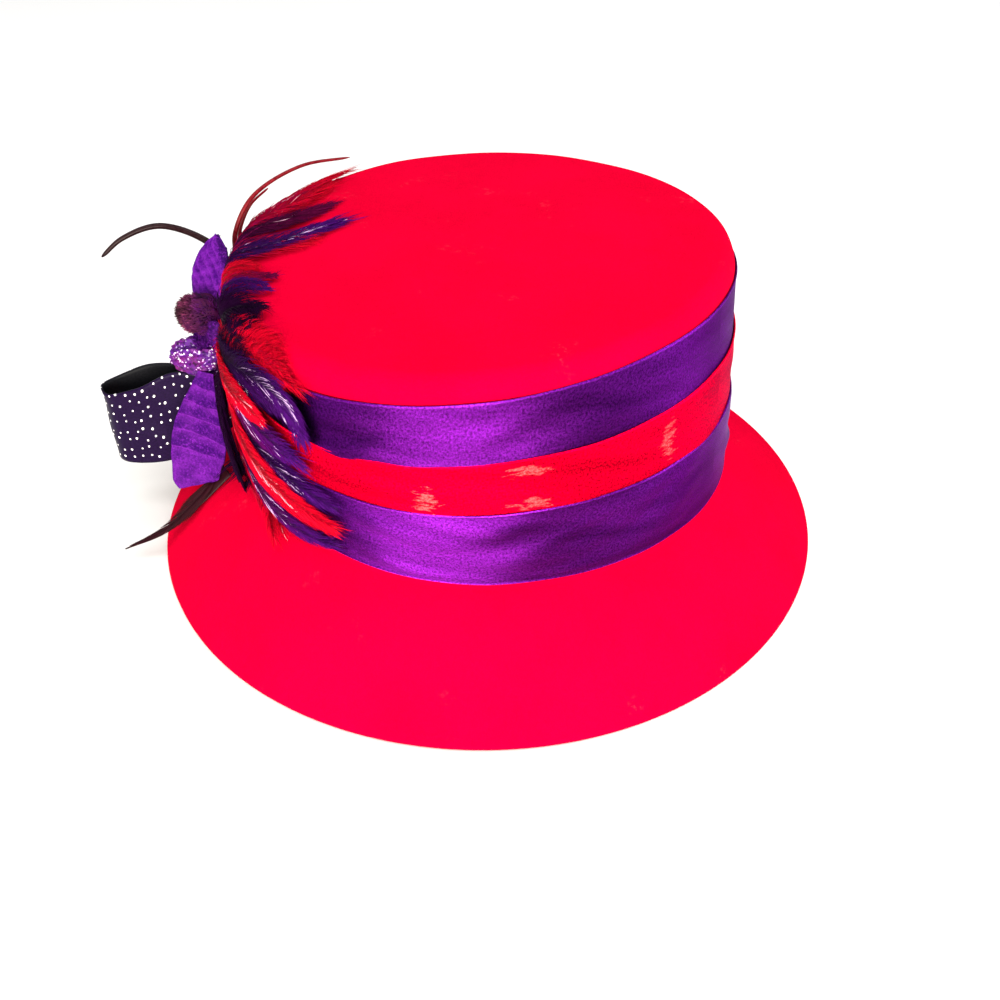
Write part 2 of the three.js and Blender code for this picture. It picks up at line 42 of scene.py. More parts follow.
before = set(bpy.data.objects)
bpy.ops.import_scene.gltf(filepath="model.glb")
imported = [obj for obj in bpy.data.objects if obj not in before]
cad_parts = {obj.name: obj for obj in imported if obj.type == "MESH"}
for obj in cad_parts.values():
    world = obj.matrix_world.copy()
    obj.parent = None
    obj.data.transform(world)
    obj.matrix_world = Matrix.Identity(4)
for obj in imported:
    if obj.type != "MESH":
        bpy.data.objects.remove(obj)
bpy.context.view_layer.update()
FELT_LOW, FELT_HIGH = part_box("felt_body")
BODY = "root"
MM = 0.001

# Ribbon edges: height at the crown's axis in metres, and lean up towards +X and +Y in degrees
FOOT = {"height": 0.0324, "lean": (-2.5, -2.1)}
LOWER_TOP = {"height": 0.0623, "lean": (-0.95, -0.3)}
MIDDLE_TOP = {"height": 0.0822, "lean": (1.6, 2.0)}
UPPER_TOP = {"height": 0.1009, "lean": (3.9, 1.9)}

# Ribbons: the edges; 1 where it tucks behind the one below, and where its top stands off; the slot; the
# satin's name, the settings for its ground and its painted highlight, how metallic it shines, how much of the
# painted highlight its patches show and how far its threads lean, in turns; and the patches of painted
# highlight, each with its angle in degrees, its share of the height and half its size in both
RIBBONS = [
    {"name": "lower", "bottom": FOOT, "top": LOWER_TOP, "tuck": 0, "step": 1, "seed": 11,
     "slot": "violet_satin", "satin": "violet_satin_leaning", "ground": "lower_violet_painted_lighter",
     "painted_highlight": "violet_painted_highlight", "metal": 1.0, "gleam": 0.14, "lean": -0.045, "highlight_spots": []},
    {"name": "middle", "bottom": LOWER_TOP, "top": MIDDLE_TOP, "tuck": 1, "step": 1, "seed": 12,
     "slot": "red_satin", "satin": "red_satin", "ground": "red", "painted_highlight": "red_painted_highlight",
     "metal": 0.5, "gleam": 0.7, "lean": 0.0,
     "highlight_spots": [(286.5, 0.4, 4.4, 0.3), (308, 0.8, 6.2, 0.12), (308, 0.28, 5, 0.15), (340, 0.58, 3.3, 0.4)]},
    {"name": "upper", "bottom": MIDDLE_TOP, "top": UPPER_TOP, "tuck": 1, "step": 0, "seed": 13,
     "slot": "violet_satin", "satin": "violet_satin", "ground": "violet", "painted_highlight": "violet_painted_highlight",
     "metal": 1.0, "gleam": 0.14, "lean": 0.0, "highlight_spots": []},
]

# A ribbon's edge, in millimetres: distances of the rows of points from it, and the distance and half width of
# its bead and of the painted highlight that runs along it
EDGE_ROWS = (0.0, 0.12, 0.25, 0.4, 0.55, 0.75, 1.0, 1.4)
BEAD = (0.45, 0.32)
EDGE_HIGHLIGHT = (0.35, 0.3)

# Soft folds along a ribbon, in metres: the crown's radius, the length and height of a fold, and how far it
# sways up and down
FOLDS = {"round": 0.094, "length": 0.055, "height": 8 * MM, "sway": 9 * MM}

# Unevenness of the blocked felt: length and height of its waves, and the height above the rim at which they
# have their full size, in millimetres
FELT_WAVES = {"length": 45, "height": 0.16, "full": 12}

# Where the trim sits round the crown, and its directions: out of the hat, along the wall to the front, and up
TRIM_ANGLE = math.radians(205)
OUT = np.array([math.cos(TRIM_ANGLE), math.sin(TRIM_ANGLE), 0.0])
ALONG = np.array([-OUT[1], OUT[0], 0.0])
UP = np.array([0.0, 0.0, 1.0])

# Hackles: places on the hat at the middle and the tip, each the angle round the crown in degrees, the level
# in millimetres in over the crown's edge or, below zero, down the wall, and how far it stands off the felt;
# the width; the dyes at the root and the tip; the share of pale barbs, which are painted glints; how soft and
# loose the barbs are; and the number of feathers in the tuft
HACKLE_COLUMNS = ("middle", "tip", "width", "dyes", "pale", "soft", "tuft")
CROWN_ROOT = (208, -25, 3.6)
CROWN_HACKLES = [
    ((190, 5, 2.4), (156, 8, 1.2), 11, ("purple", "red"), 0.08, 0.8, 5),
    ((191, 8, 2.6), (166, 13, 1.3), 11, ("plum", "red"), 0.02, 1.0, 4),
    ((195, 13, 2.6), (177, 26, 1.3), 12, ("dark", "plum"), 0.03, 0.9, 4),
    ((206, 12, 2.8), (201, 34, 1.3), 12, ("plum", "red"), 0.01, 1.0, 3),
    ((205, 16, 2.8), (187, 40, 1.3), 12, ("dark", "purple"), 0.12, 0.7, 4),
    ((215, 2, 3.4), (219, 14, 2.0), 10, ("red", "red"), 0.01, 1.0, 5),
    ((220, 5, 3.0), (224, 20, 1.4), 6, ("red", "plum"), 0.0, 1.0, 2),
    ((225, 3, 3.0), (230, 17, 1.4), 7, ("dark", "purple"), 0.0, 1.0, 2),
    ((230, -2, 4.2), (237, 8, 2.2), 13, ("dark", "dark"), 0.0, 0.8, 6),
    ((234, -5, 4.4), (244, 3, 2.5), 13, ("dark", "dark"), 0.0, 0.8, 6),
]
WALL_ROOT = (207, -31, 7.5)
WALL_HACKLES = [
    ((235, -9, 4.8), (245, -3, 2.8), 14, ("dark", "dark"), 0.0, 0.8, 3),
    ((238, -3, 4.4), (255, 4, 2.0), 12, ("red", "red"), 0.0, 0.7, 4),
    ((240, -7, 4.4), (259, -1, 2.5), 12, ("plum", "red"), 0.0, 0.7, 4),
    ((244, -9, 6.0), (261, -25, 3.5), 14, ("dark", "purple"), 0.16, 0.4, 4),
    ((234, -20, 8.5), (249, -26, 6.0), 13, ("red", "red"), 0.12, 0.2, 3),
    ((238, -30, 6.8), (258, -33, 4.5), 13, ("plum", "purple"), 0.20, 0.4, 3),
    ((242, -41, 6.0), (266, -49, 3.5), 13, ("dark", "purple"), 0.16, 0.4, 3),
    ((239, -47, 7.6), (264, -60, 3.5), 14, ("red", "red"), 0.12, 0.2, 4),
    ((238, -62, 6.4), (262, -70, 2.5), 12, ("plum", "purple"), 0.14, 0.4, 3),
    ((223, -63, 8.0), (248, -81, 3.0), 13, ("plum", "red"), 0.10, 0.4, 3),
    # The last three dark tufts fill the shade between the lower petal and the red feathers: partly dark
    # feathers, partly a painted shadow
    ((225, -50, 11.5), (228, -80, 9.0), 13, ("dark", "dark"), 0.0, 0.6, 3),
    ((222, -50, 12.5), (224, -80, 9.5), 12, ("dark", "dark"), 0.0, 0.6, 4),
    ((221, -48, 11.0), (224.5, -83, 7.0), 9, ("dark", "dark"), 0.0, 0.6, 3),
]

# A hackle's barbs: their slant from the rib in degrees at its root and tip; as shares of the rib's length,
# the downy part, the longest sweep and half the patch of pale barbs painted as glints; and the thickness in
# millimetres
BARBS = {"slant": (28, 13), "downy": 0.25, "longest": 0.24, "bare": 0.09, "thickness": 0.14}

# Petals: outline, root, tip and width direction as (out, along, up) in millimetres, the widest width, how
# far the middle bows and the edges cup; the fold along a ridge, which runs down the middle or, with a hook,
# off to one edge; the creases that cross the petal, how they slant, their depth and the share of the length
# that they cover; and how far the end hangs lower at one side. What a row leaves out is as in the plain
# petal. The last three are small folds inside the flower
PLAIN_PETAL = {"bow": 0, "fold": 0, "hook": 0, "slant": 0.0, "creased": 1.0, "lop": 0.0}
PETALS = [
    {"name": "upper_petal", "outline": "pointed", "root": (104.8, 5.5, 78), "tip": (100.9, -12, 108.4),
     "wide": (0.85, -0.53, 0), "width": 16, "bow": 3, "cup": -0.6, "fold": 3.2, "hook": 2.2,
     "creases": 8, "slant": -0.26, "depth": 0.24},
    {"name": "lower_petal", "outline": "blunt", "root": (105, 16.4, 67), "tip": (113.2, 28.4, 24.2),
     "wide": (0.97, -0.2, 0), "width": 22, "bow": 1, "cup": -2,
     "creases": 5, "slant": 0.02, "depth": 0.6, "creased": 0.7, "lop": 0.14},
    {"name": "rear_upper_petal", "outline": "leaf", "root": (96.5, 1, 75), "tip": (110, -28, 81),
     "wide": (0.3, 0.2, 0.93), "width": 22, "cup": 3, "fold": 0.8,
     "creases": 3, "depth": 0.3, "creased": 0.8},
    {"name": "rear_lower_petal", "outline": "leaf", "root": (98.2, 0, 67), "tip": (111, -25, 45),
     "wide": (0.3, 0.5, 0.8), "width": 22, "cup": 3, "fold": 0.5,
     "creases": 4, "depth": 0.4, "creased": 0.8},
    {"name": "inner_fold_left", "outline": "leaf", "root": (103.5, 6.5, 75), "tip": (103.5, 7.5, 91),
     "wide": (0.8, -0.5, 0.3), "width": 10.5, "bow": 1.2, "cup": -1.2, "fold": 1.4,
     "creases": 2, "slant": 0.3, "depth": 0.2},
    {"name": "inner_fold_right", "outline": "leaf", "root": (100.6, 12, 73.5), "tip": (100.2, 12.8, 86),
     "wide": (0.9, -0.3, -0.2), "width": 10.5, "bow": 1.5, "cup": -1.0, "fold": 1.6,
     "creases": 2, "slant": 0.3, "depth": 0.25},
    {"name": "inner_fold_low", "outline": "leaf", "root": (100, 8, 74), "tip": (108.5, 12.5, 79.5),
     "wide": (0.3, -0.4, 0.85), "width": 10, "bow": 1.2, "cup": 1.0, "fold": 1.2,
     "creases": 2, "slant": 0.3, "depth": 0.25},
]

# The flower's centre and the bunch of mesh: middle and half sizes as (out, along, up) in millimetres
CENTRE = {"at": (105.6, 8.0, 86.4), "half": (7.8, 4.8, 7.4)}
BUNCH = {"at": (107.7, 8.5, 69.5), "half": (11.9, 6.2, 6.8), "folds": 7}

# The dotted ribbon's loop: for each bend the place out and along, and the heights of the ribbon's foot and
# head, in millimetres
LOOP = [
    (98.6, 6, 40, 56),
    (104, 8.5, 36, 60),
    (119, 10, 27, 63),
    (134, 11.5, 22.5, 57),
    (147, 9.5, 22, 53),
    (151, 3.5, 22, 53.5),
    (147, -2.5, 22, 54),
    (134, -5, 22.5, 58),
    (119, -3, 27, 59),
    (104, 2, 36, 57),
]

# Quills: path as (out, along, up) and thickness at root and tip, in millimetres
QUILLS = [
    {"name": "dark_quill", "root": 3, "tip": 1.4,
     "path": [(98.8, -16, 93.5), (107, -20, 102), (121.5, -14, 110.5), (134, -8, 108), (142, -5, 102)]},
    {"name": "red_quill_long", "root": 2.2, "tip": 1,
     "path": [(98.4, -24, 97), (97.4, -24, 104), (90.5, -28, 116), (75, -46, 122), (57.5, -61, 121)]},
    {"name": "red_quill_short", "root": 1.6, "tip": 0.8,
     "path": [(98, -29, 98), (96.6, -29.5, 104), (92.2, -32, 112), (86, -38, 116.5)]},
]

# The spike feather: path as (out, along, up) and widest width in millimetres, and rough length in metres
SPIKE = {"path": [(102, 25.5, 31), (113.5, 32.8, 19.4), (126, 38.6, 9.6), (140.5, 43.2, 4.2)],
         "width": 13, "length": 0.052}

# Leaf outlines: the stem's and the tip's share of the widest width, how far the widest place moves to the
# tip, how full the outline is and how much it narrows to the tip
OUTLINES = {
    "hackle": {"stem": 0.3, "tip": 0.12, "skew": 0.75, "fullness": 0.7, "taper": 0.35},
    "leaf": {"stem": 0.2, "tip": 0.2, "skew": 1.15, "fullness": 0.6, "taper": 0.3},
    "pointed": {"stem": 0.7, "tip": 0.08, "skew": 1.35, "fullness": 0.85, "taper": 0.0},
    "blunt": {"stem": 0.28, "tip": 0.82, "skew": 1.5, "fullness": 0.9, "taper": 0.0},
}

# The photograph's camera: place in metres, heading and tilt down in degrees, roll, and focal length in pixels
EYE = (0.1390, -0.28905, 0.2445)
HEADING = 25.0
TILT = 37.67
ROLL = -0.73
FOCAL_PIXELS = 950
FRAME_PIXELS = 1000
SENSOR = 36.0

# Lamps, which look at the middle of the hat: place and size in metres, and colour; then the sun's spread and
# tilt in degrees, the sky's colour, and how far the floor lies below the hat's foot
LAMPS = {
    "key": ((0.42, -0.97, 0.10), (1.1, 0.6), (1.0, 0.95, 0.8)),
    "fill": ((-0.9, -0.5, 0.8), (0.7, 0.7), (1.0, 1.0, 1.0)),
    "rear": ((0.75, 0.65, 0.8), (0.62, 0.62), (1.0, 1.0, 1.0)),
}
LIT_PLACE = Vector((0, 0, 0.06))
SUN_SPREAD = 75
SUN_TILT = (12, 8)
SKY = (1.0, 0.99, 0.98, 1.0)
FLOOR_DROP = 0.05 * MM


def size_setting(name, description, default):
    """A length that a user may change."""
    return FloatProperty(name=name, description=description, default=default, unit="LENGTH")


def colour_setting(name, description, default):
    """A colour that a user may change."""
    return FloatVectorProperty(name=name, description=description, size=3, subtype="COLOR", default=default)


def lean_setting(name, description, degrees):
    """A lean towards +X and +Y that a user may change."""
    return FloatVectorProperty(name=name, description=description, size=2, unit="ROTATION",
                               default=[math.radians(value) for value in degrees])


class FeltSettings(bpy.types.PropertyGroup):
    """Sizes and colours of the felt."""

    thickness: size_setting("Thickness", "Thickness of the felt", 2.0 * MM)
    rim_half_width: size_setting("Rim half width", "Half the brim's width", (FELT_HIGH.x - FELT_LOW.x) / 2)
    rim_half_length: size_setting("Rim half length", "Half the brim's length", (FELT_HIGH.y - FELT_LOW.y) / 2)
    rim_edge: size_setting("Rim edge", "Height of the brim's outer edge", 1.6 * MM)
    rim_flat: size_setting("Rim flat", "Width of the flat foot under the rim", 2.0 * MM)
    rim_round: size_setting("Rim round", "How far the foot lies in from the edge", 0.6 * MM)
    belly: size_setting("Brim belly", "How far the brim bulges up midway", 2.5 * MM)
    crown_half_width: size_setting("Crown half width", "Half the crown's width at its foot", 90.0 * MM)
    crown_half_length: size_setting("Crown half length", "Half the crown's length at its foot", 94.2 * MM)
    egg: FloatProperty(
        name="Egg", description="How egg-shaped the crown's oval is", default=0.075, subtype="FACTOR")
    taper: FloatProperty(
        name="Taper", description="How much the crown narrows to its top", default=0.03, subtype="FACTOR")
    shift: FloatVectorProperty(
        name="Shift", description="How far the crown's top lies to one side", size=2, unit="LENGTH",
        default=(-4.9 * MM, -1.5 * MM))
    base_height: size_setting("Base height", "Height of the crown's foot", 31.0 * MM)
    base_lean: lean_setting("Base lean", "Lean of the crown's foot towards +X and +Y", (-2.5, -2.1))
    top_height: size_setting("Top height", "Height of the crown's top edge", 111.5 * MM)
    top_lean: lean_setting("Top lean", "Lean of the crown's top towards +X and +Y", (1.0, 3.0))
    roll: size_setting("Roll", "Radius of the top's rolled edge", 6.0 * MM)
    dome: size_setting("Dome", "How far the top bulges up", 2.5 * MM)
    segments: IntProperty(name="Segments", description="Steps round the hat", default=240, min=24)
    colour: colour_setting("Felt red", "Colour of the felt", (0.54, 0.0, 0.0205))
    deep: colour_setting("Deep red", "Colour of the felt's darker patches", (0.48, 0.0, 0.0160))
    lint: colour_setting("Lint", "Colour of the pale scuffs", (0.70, 0.06, 0.10))


class RibbonSettings(bpy.types.PropertyGroup):
    """Sizes and colours of the satin ribbons."""

    thickness: size_setting("Thickness", "Thickness of the satin", 0.45 * MM)
    stand: size_setting("Stand", "How far a ribbon's face stands off the felt", 0.8 * MM)
    step: size_setting("Step", "How far a ribbon's top stands off the one behind it", 0.75 * MM)
    overlap: size_setting("Overlap", "How far a ribbon tucks behind the one below", 4.0 * MM)
    selvedge: size_setting("Selvedge", "Height of the rolled edge", 0.3 * MM)
    pucker: size_setting("Pucker", "Height of the soft lengthwise puckers", 0.95 * MM)
    violet: colour_setting("Violet", "Colour of the upper satin", (0.094, 0.0050, 0.166))
    # The lower ribbon's violet: the upper violet painted 15 % lighter, for the stronger light on it
    lower_violet_painted_lighter: colour_setting("Lower violet", "Colour of the lower satin", (0.1081, 0.00575, 0.1909))
    # Painted highlight colour for the violet satin's patches
    violet_painted_highlight: colour_setting("Violet shine", "Colour of the violet's bright threads", (0.40, 0.060, 0.50))
    red: colour_setting("Red", "Colour of the red satin", (0.50, 0.0, 0.014))
    # Painted highlight colour for the red satin's patches
    red_painted_highlight: colour_setting("Red shine", "Colour of the red's bright threads", (0.78, 0.12, 0.12))


class PlumeSettings(bpy.types.PropertyGroup):
    """Sizes and dyes of the feathers."""

    barbs: IntProperty(name="Barbs", description="Barbs on each side of a feather", default=125, min=10)
    barb_width: size_setting("Barb width", "Width of a barb at its root", 0.30 * MM)
    red: colour_setting("Red", "Dye of the red feathers", (0.44, 0.0, 0.013))
    purple: colour_setting("Purple", "Dye of the purple feathers", (0.045, 0.002, 0.105))
    dark: colour_setting("Dark", "Dye of the dark feathers", (0.009, 0.0, 0.013))
    plum: colour_setting("Plum", "Dye of the feathers between red and purple", (0.085, 0.0, 0.030))
    # Pale: the painted glint colour on a few barbs' tips
    pale: colour_setting("Pale", "Colour of the bare pale barbs", (0.95, 0.72, 0.90))


class FlowerSettings(bpy.types.PropertyGroup):
    """Sizes and colours of the cloth flower."""

    petal: size_setting("Petal", "Thickness of a petal", 0.7 * MM)
    violet: colour_setting("Violet", "Colour of the petals", (0.030, 0.0002, 0.092))
    # Lavender: the cloth's pale speckle, and the painted highlight along the petals' creases
    lavender: colour_setting("Lavender", "Colour of the petals' rubbed folds", (0.112, 0.008, 0.225))
    blush: colour_setting("Blush", "Colour of the upper petal's foot", (0.075, 0.004, 0.062))
    hairs: IntProperty(name="Hairs", description="Hairs on the flower's centre", default=2600, min=10)
    hair_length: size_setting("Hair length", "Length of the hairs", 2.0 * MM)
    mauve: colour_setting("Mauve", "Colour of the hairs' tips", (0.17, 0.028, 0.075))
    mauve_root: colour_setting("Mauve root", "Colour of the hairs' roots", (0.03, 0.0, 0.022))
    # The next colour, for the hair tips at the outer rim, is a painted shadow
    rim_shadow_olive: colour_setting("Olive", "Colour of the tips furthest from the hat", (0.045, 0.030, 0.022))
    purple: colour_setting("Purple", "Colour of the tips at the hat's side", (0.055, 0.003, 0.090))
    flakes: IntProperty(name="Flakes", description="Glitter flakes on the bunch", default=85, min=0)
    flake_size: size_setting("Flake size", "Half width of a glitter flake", 0.34 * MM)
    net: colour_setting("Net", "Colour of the gathered mesh", (0.060, 0.003, 0.14))
    net_patch: colour_setting("Net patch", "Colour of the mesh's redder patches", (0.11, 0.004, 0.11))
    glitter: colour_setting("Glitter", "Colour of the specks in the mesh", (0.78, 0.55, 0.95))


class LoopSettings(bpy.types.PropertyGroup):
    """Sizes and colours of the dotted ribbon."""

    thickness: size_setting("Thickness", "Thickness of the ribbon", 0.7 * MM)
    dot_spacing: size_setting("Dot spacing", "Distance between dots", 3.7 * MM)
    ground: colour_setting("Ground", "Colour of the ribbon's face", (0.0066, 0.0016, 0.0165))
    inside: colour_setting("Inside", "Colour of the ribbon's back", (0.006, 0.006, 0.008))
    dot: colour_setting("Dot", "Colour of the dots", (0.92, 0.90, 0.92))


class QuillSettings(bpy.types.PropertyGroup):
    """Colours of the bare quills and the spike feather."""

    dark: colour_setting("Dark", "Colour of the dark quill", (0.007, 0.001, 0.002))
    red: colour_setting("Red", "Colour of the red quills", (0.085, 0.001, 0.004))
    spike: colour_setting("Spike", "Colour of the spike feather", (0.017, 0.0006, 0.003))


class StageSettings(bpy.types.PropertyGroup):
    """Floor and light."""

    floor: colour_setting("Floor", "Colour of the floor", (0.66, 0.658, 0.655))
    floor_size: size_setting("Floor size", "Side of the floor", 6.0)
    key: FloatProperty(name="Key", description="Power of the main light", default=56.0, unit="POWER")
    fill: FloatProperty(name="Fill", description="Power of the side light", default=2.0, unit="POWER")
    rear: FloatProperty(name="Rear", description="Power of the light from behind", default=10.0, unit="POWER")
    sky: FloatProperty(name="Sky", description="Strength of the even light all round", default=0.42)
    sun: FloatProperty(name="Sun", description="Strength of the soft light from above", default=3.1)


class HatSettings(bpy.types.PropertyGroup):
    """All that the hat's operators read."""

    felt: PointerProperty(type=FeltSettings)
    ribbon: PointerProperty(type=RibbonSettings)
    plume: PointerProperty(type=PlumeSettings)
    flower: PointerProperty(type=FlowerSettings)
    loop: PointerProperty(type=LoopSettings)
    quill: PointerProperty(type=QuillSettings)
    stage: PointerProperty(type=StageSettings)


def mix(a, b, share):
    """A value between a and b."""
    return a + (b - a) * share


def unit(vectors):
    """Vectors of length 1."""
    return vectors / np.maximum(np.linalg.norm(vectors, axis=-1, keepdims=True), 1e-12)


def bell(values, middle, half):
    """1 at the middle, falling off smoothly to both sides."""
    return np.exp(-((values - middle) / half) ** 2)


def full_turn(count):
    """Angles spread evenly over a full turn."""
    return np.arange(count) * 2 * np.pi / count


def by_turns(count):
    """1 and -1 by turns."""
    return np.where(np.arange(count) % 2 == 0, 1.0, -1.0)


def spokes(first, second, count):
    """Directions all round, for each pair of crossed directions."""
    turn = full_turn(count)
    return first[:, None] * np.cos(turn)[None, :, None] + second[:, None] * np.sin(turn)[None, :, None]


def soft_noise(points, size, seed, waves=14):
    """A smooth random value, about -1 to 1, for each point, from crossed waves of about the given size."""
    rng = np.random.default_rng(seed)
    ways = unit(rng.normal(size=(waves, points.shape[-1])))
    lengths = size * rng.uniform(0.6, 1.7, waves)
    phases = rng.uniform(0, 2 * math.pi, waves)
    total = np.cos(points @ (ways / lengths[:, None]).T * 2 * math.pi + phases).sum(-1)
    return total / math.sqrt(waves)


def leaf_width(kind, u):
    """A leaf's share of its widest width on its way from the root, 0, to the tip, 1."""
    outline = OUTLINES[kind]
    bulge = np.maximum(np.sin(np.pi * np.clip(u, 0, 1) ** outline["skew"]), 0) ** outline["fullness"]
    ends = mix(outline["stem"], outline["tip"], u)
    return ends + (1 - ends) * bulge * (1 - outline["taper"] * u)


def trim_point(places):
    """Points in metres from (out, along, up) in millimetres."""
    places = np.asarray(places, float) * MM
    return places[..., :1] * OUT + places[..., 1:2] * ALONG + places[..., 2:3] * UP


def spline(points, count, closed=False):
    """Points along a smooth curve through the given ones, a centripetal Catmull-Rom curve."""
    points = np.asarray(points, float)
    spans = len(points) if closed else len(points) - 1
    if closed:
        ring = np.concatenate([points[-1:], points, points[:2]])
    else:
        ring = np.concatenate([2 * points[:1] - points[1:2], points, 2 * points[-1:] - points[-2:-1]])
    places = np.linspace(0, spans, count, endpoint=not closed)
    span = np.minimum(places.astype(int), spans - 1)
    t = (places - span)[:, None]
    p0, p1, p2, p3 = (ring[span + k] for k in range(4))
    d0, d1, d2 = (np.sqrt(np.linalg.norm(b - a, axis=1))[:, None] for a, b in ((p0, p1), (p1, p2), (p2, p3)))
    m1 = ((p1 - p0) / d0 - (p2 - p0) / (d0 + d1) + (p2 - p1) / d1) * d1
    m2 = ((p2 - p1) / d1 - (p3 - p1) / (d1 + d2) + (p3 - p2) / d2) * d1
    t2, t3 = t * t, t * t * t
    return (2 * t3 - 3 * t2 + 1) * p1 + (t3 - 2 * t2 + t) * m1 + (3 * t2 - 2 * t3) * p2 + (t3 - t2) * m2


def read_along(place, u, blocks):
    """Vectors of each block, which go with the shares u of a path, read off at other shares of it."""
    return [np.stack([np.interp(place, u, block[:, axis]) for axis in range(3)], axis=-1) for block in blocks]


class HatShape:
    """The felt's surface as formulas: an oval crown that leans a little on an oval brim."""

    def __init__(self, felt):
        self.felt = felt
        self.crown_mean = (felt.crown_half_width + felt.crown_half_length) / 2
        self.rim_mean = (felt.rim_half_width + felt.rim_half_length) / 2
        self.roll_radius = self.crown_mean - felt.roll
        self.line = self.outline()
        steps = np.linalg.norm(np.diff(self.line, axis=0), axis=1)
        self.run = np.concatenate([[0], np.cumsum(steps)])
        self.wall_top = self.run[np.argmax(self.line[:, 0] > self.crown_mean - 1e-7)]

    def crown_plan(self, angle):
        """The crown's oval from above."""
        felt = self.felt
        x = felt.crown_half_width * np.cos(angle) * (1 + felt.egg * np.sin(angle))
        return np.stack([x, felt.crown_half_length * np.sin(angle)], axis=-1)

    def rim_plan(self, angle):
        """The rim's oval from above."""
        felt = self.felt
        return np.stack([felt.rim_half_width * np.cos(angle), felt.rim_half_length * np.sin(angle)], axis=-1)

    def wall_share(self, height):
        """How far up the crown's wall a height is, 0 to 1."""
        felt = self.felt
        return np.clip((height - felt.base_height) / (felt.top_height - felt.base_height), 0, 1)

    def wall_shift(self, plan, z):
        """Points of an oval at their heights, narrower and further to one side on the way up."""
        share = self.wall_share(z)[..., None]
        moved = plan * (1 - self.felt.taper * share) + np.array(self.felt.shift) * share
        return np.concatenate([moved, z[..., None]], axis=-1)

    def hat_point(self, angle, radius, height):
        """A point of the hat from a round hat's radius and height."""
        angle, radius, height = np.broadcast_arrays(angle, radius, height)
        plan = self.crown_plan(angle) * (np.minimum(radius, self.crown_mean) / self.crown_mean)[..., None]
        reach = np.maximum(radius - self.crown_mean, 0) / (self.rim_mean - self.crown_mean)
        plan = mix(plan, self.rim_plan(angle), reach[..., None])
        low = plan @ np.tan(np.array(self.felt.base_lean))
        high = plan @ np.tan(np.array(self.felt.top_lean))
        lift = mix(low, high, self.wall_share(height)) * np.clip(height / self.felt.base_height, 0, 1)
        return self.wall_shift(plan, height + lift)

    def wall_point(self, angle, z, stand):
        """A point that stands off the crown's wall."""
        return self.wall_shift(self.crown_plan(angle) * (1 + stand / self.crown_mean)[..., None], z)

    def edge_height(self, edge, angle):
        """The height of a leaning ribbon edge at an angle."""
        return edge["height"] + self.crown_plan(angle) @ np.tan(np.radians(edge["lean"]))

    def dome_height(self, share):
        """The height of the crown's top at a share of its radius."""
        return self.felt.top_height + self.felt.dome * (1 - share * share)

    def brim_height(self, reach):
        """The height of the brim at a share of its reach."""
        felt = self.felt
        return mix(felt.base_height, felt.rim_edge, reach) + 4 * felt.belly * reach * (1 - reach)

    def outline(self):
        """The felt's outer line, radius and height, from the top's middle to the rim."""
        felt = self.felt
        share = np.linspace(0, 1, 26)[:-1]
        top = np.stack([self.roll_radius * share, self.dome_height(share)], axis=1)
        turn = np.linspace(0, np.pi / 2, 13)
        roll = np.stack([self.roll_radius + felt.roll * np.sin(turn),
                         felt.top_height - felt.roll * (1 - np.cos(turn))], axis=1)
        fillet = 1.0 * MM
        down = np.linspace(felt.top_height - felt.roll, felt.base_height + fillet, 26)[1:]
        wall = np.stack([np.full_like(down, self.crown_mean), down], axis=1)
        reach = np.linspace(0.02, 1, 48)
        brim = np.stack([mix(self.crown_mean, self.rim_mean, reach), self.brim_height(reach)], axis=1)
        return np.concatenate([top, roll, wall, brim])

    def profile(self):
        """The outer line, the rounded rim with its flat foot, and the inner line back to the middle."""
        felt = self.felt
        foot = self.rim_mean - felt.rim_round
        rim = np.array([[mix(foot, self.rim_mean, 0.7), felt.rim_edge * 0.3], [foot, 0.0],
                        [foot - felt.rim_flat, 0.0]])
        reach = np.linspace(0.9, 0.08, 30)
        near = 0.01
        slope = (self.brim_height(reach + near) - self.brim_height(reach - near))
        slope = slope / (2 * near * (self.rim_mean - self.crown_mean))
        steep = np.hypot(1, slope)
        under = np.stack([mix(self.crown_mean, self.rim_mean, reach) + felt.thickness * slope / steep,
                          self.brim_height(reach) - felt.thickness / steep], axis=1)
        inner_radius = self.crown_mean - felt.thickness
        inner_roll = felt.roll - felt.thickness
        up = np.linspace(felt.base_height - 0.6 * MM, felt.top_height - felt.roll, 20)[:-1]
        wall = np.stack([np.full_like(up, inner_radius), up], axis=1)
        turn = np.linspace(np.pi / 2, 0, 9)
        roll = np.stack([self.roll_radius + inner_roll * np.sin(turn),
                         felt.top_height - felt.thickness - inner_roll * (1 - np.cos(turn))], axis=1)
        share = np.linspace(1, 0, 16)[1:]
        top = np.stack([self.roll_radius * share, self.dome_height(share) - felt.thickness], axis=1)
        return np.concatenate([self.line, rim, under, wall, roll, top])

    def skin_point(self, angle, level, stand):
        """A point off the felt: the level runs in over the top or, below zero, down the wall and brim."""
        place = np.clip(self.wall_top - level, 0, self.run[-1])
        radius = np.interp(place, self.run, self.line[:, 0])
        height = np.interp(place, self.run, self.line[:, 1])
        near = 0.5 * MM
        before = [np.interp(np.maximum(place - near, 0), self.run, self.line[:, k]) for k in (0, 1)]
        after = [np.interp(np.minimum(place + near, self.run[-1]), self.run, self.line[:, k]) for k in (0, 1)]
        run = self.hat_point(angle, *after) - self.hat_point(angle, *before)
        turn = self.hat_point(angle + 0.01, radius, height) - self.hat_point(angle - 0.01, radius, height)
        normal = unit(np.cross(run, turn))
        return self.hat_point(angle, radius, height) + normal * np.asarray(stand)[..., None], normal


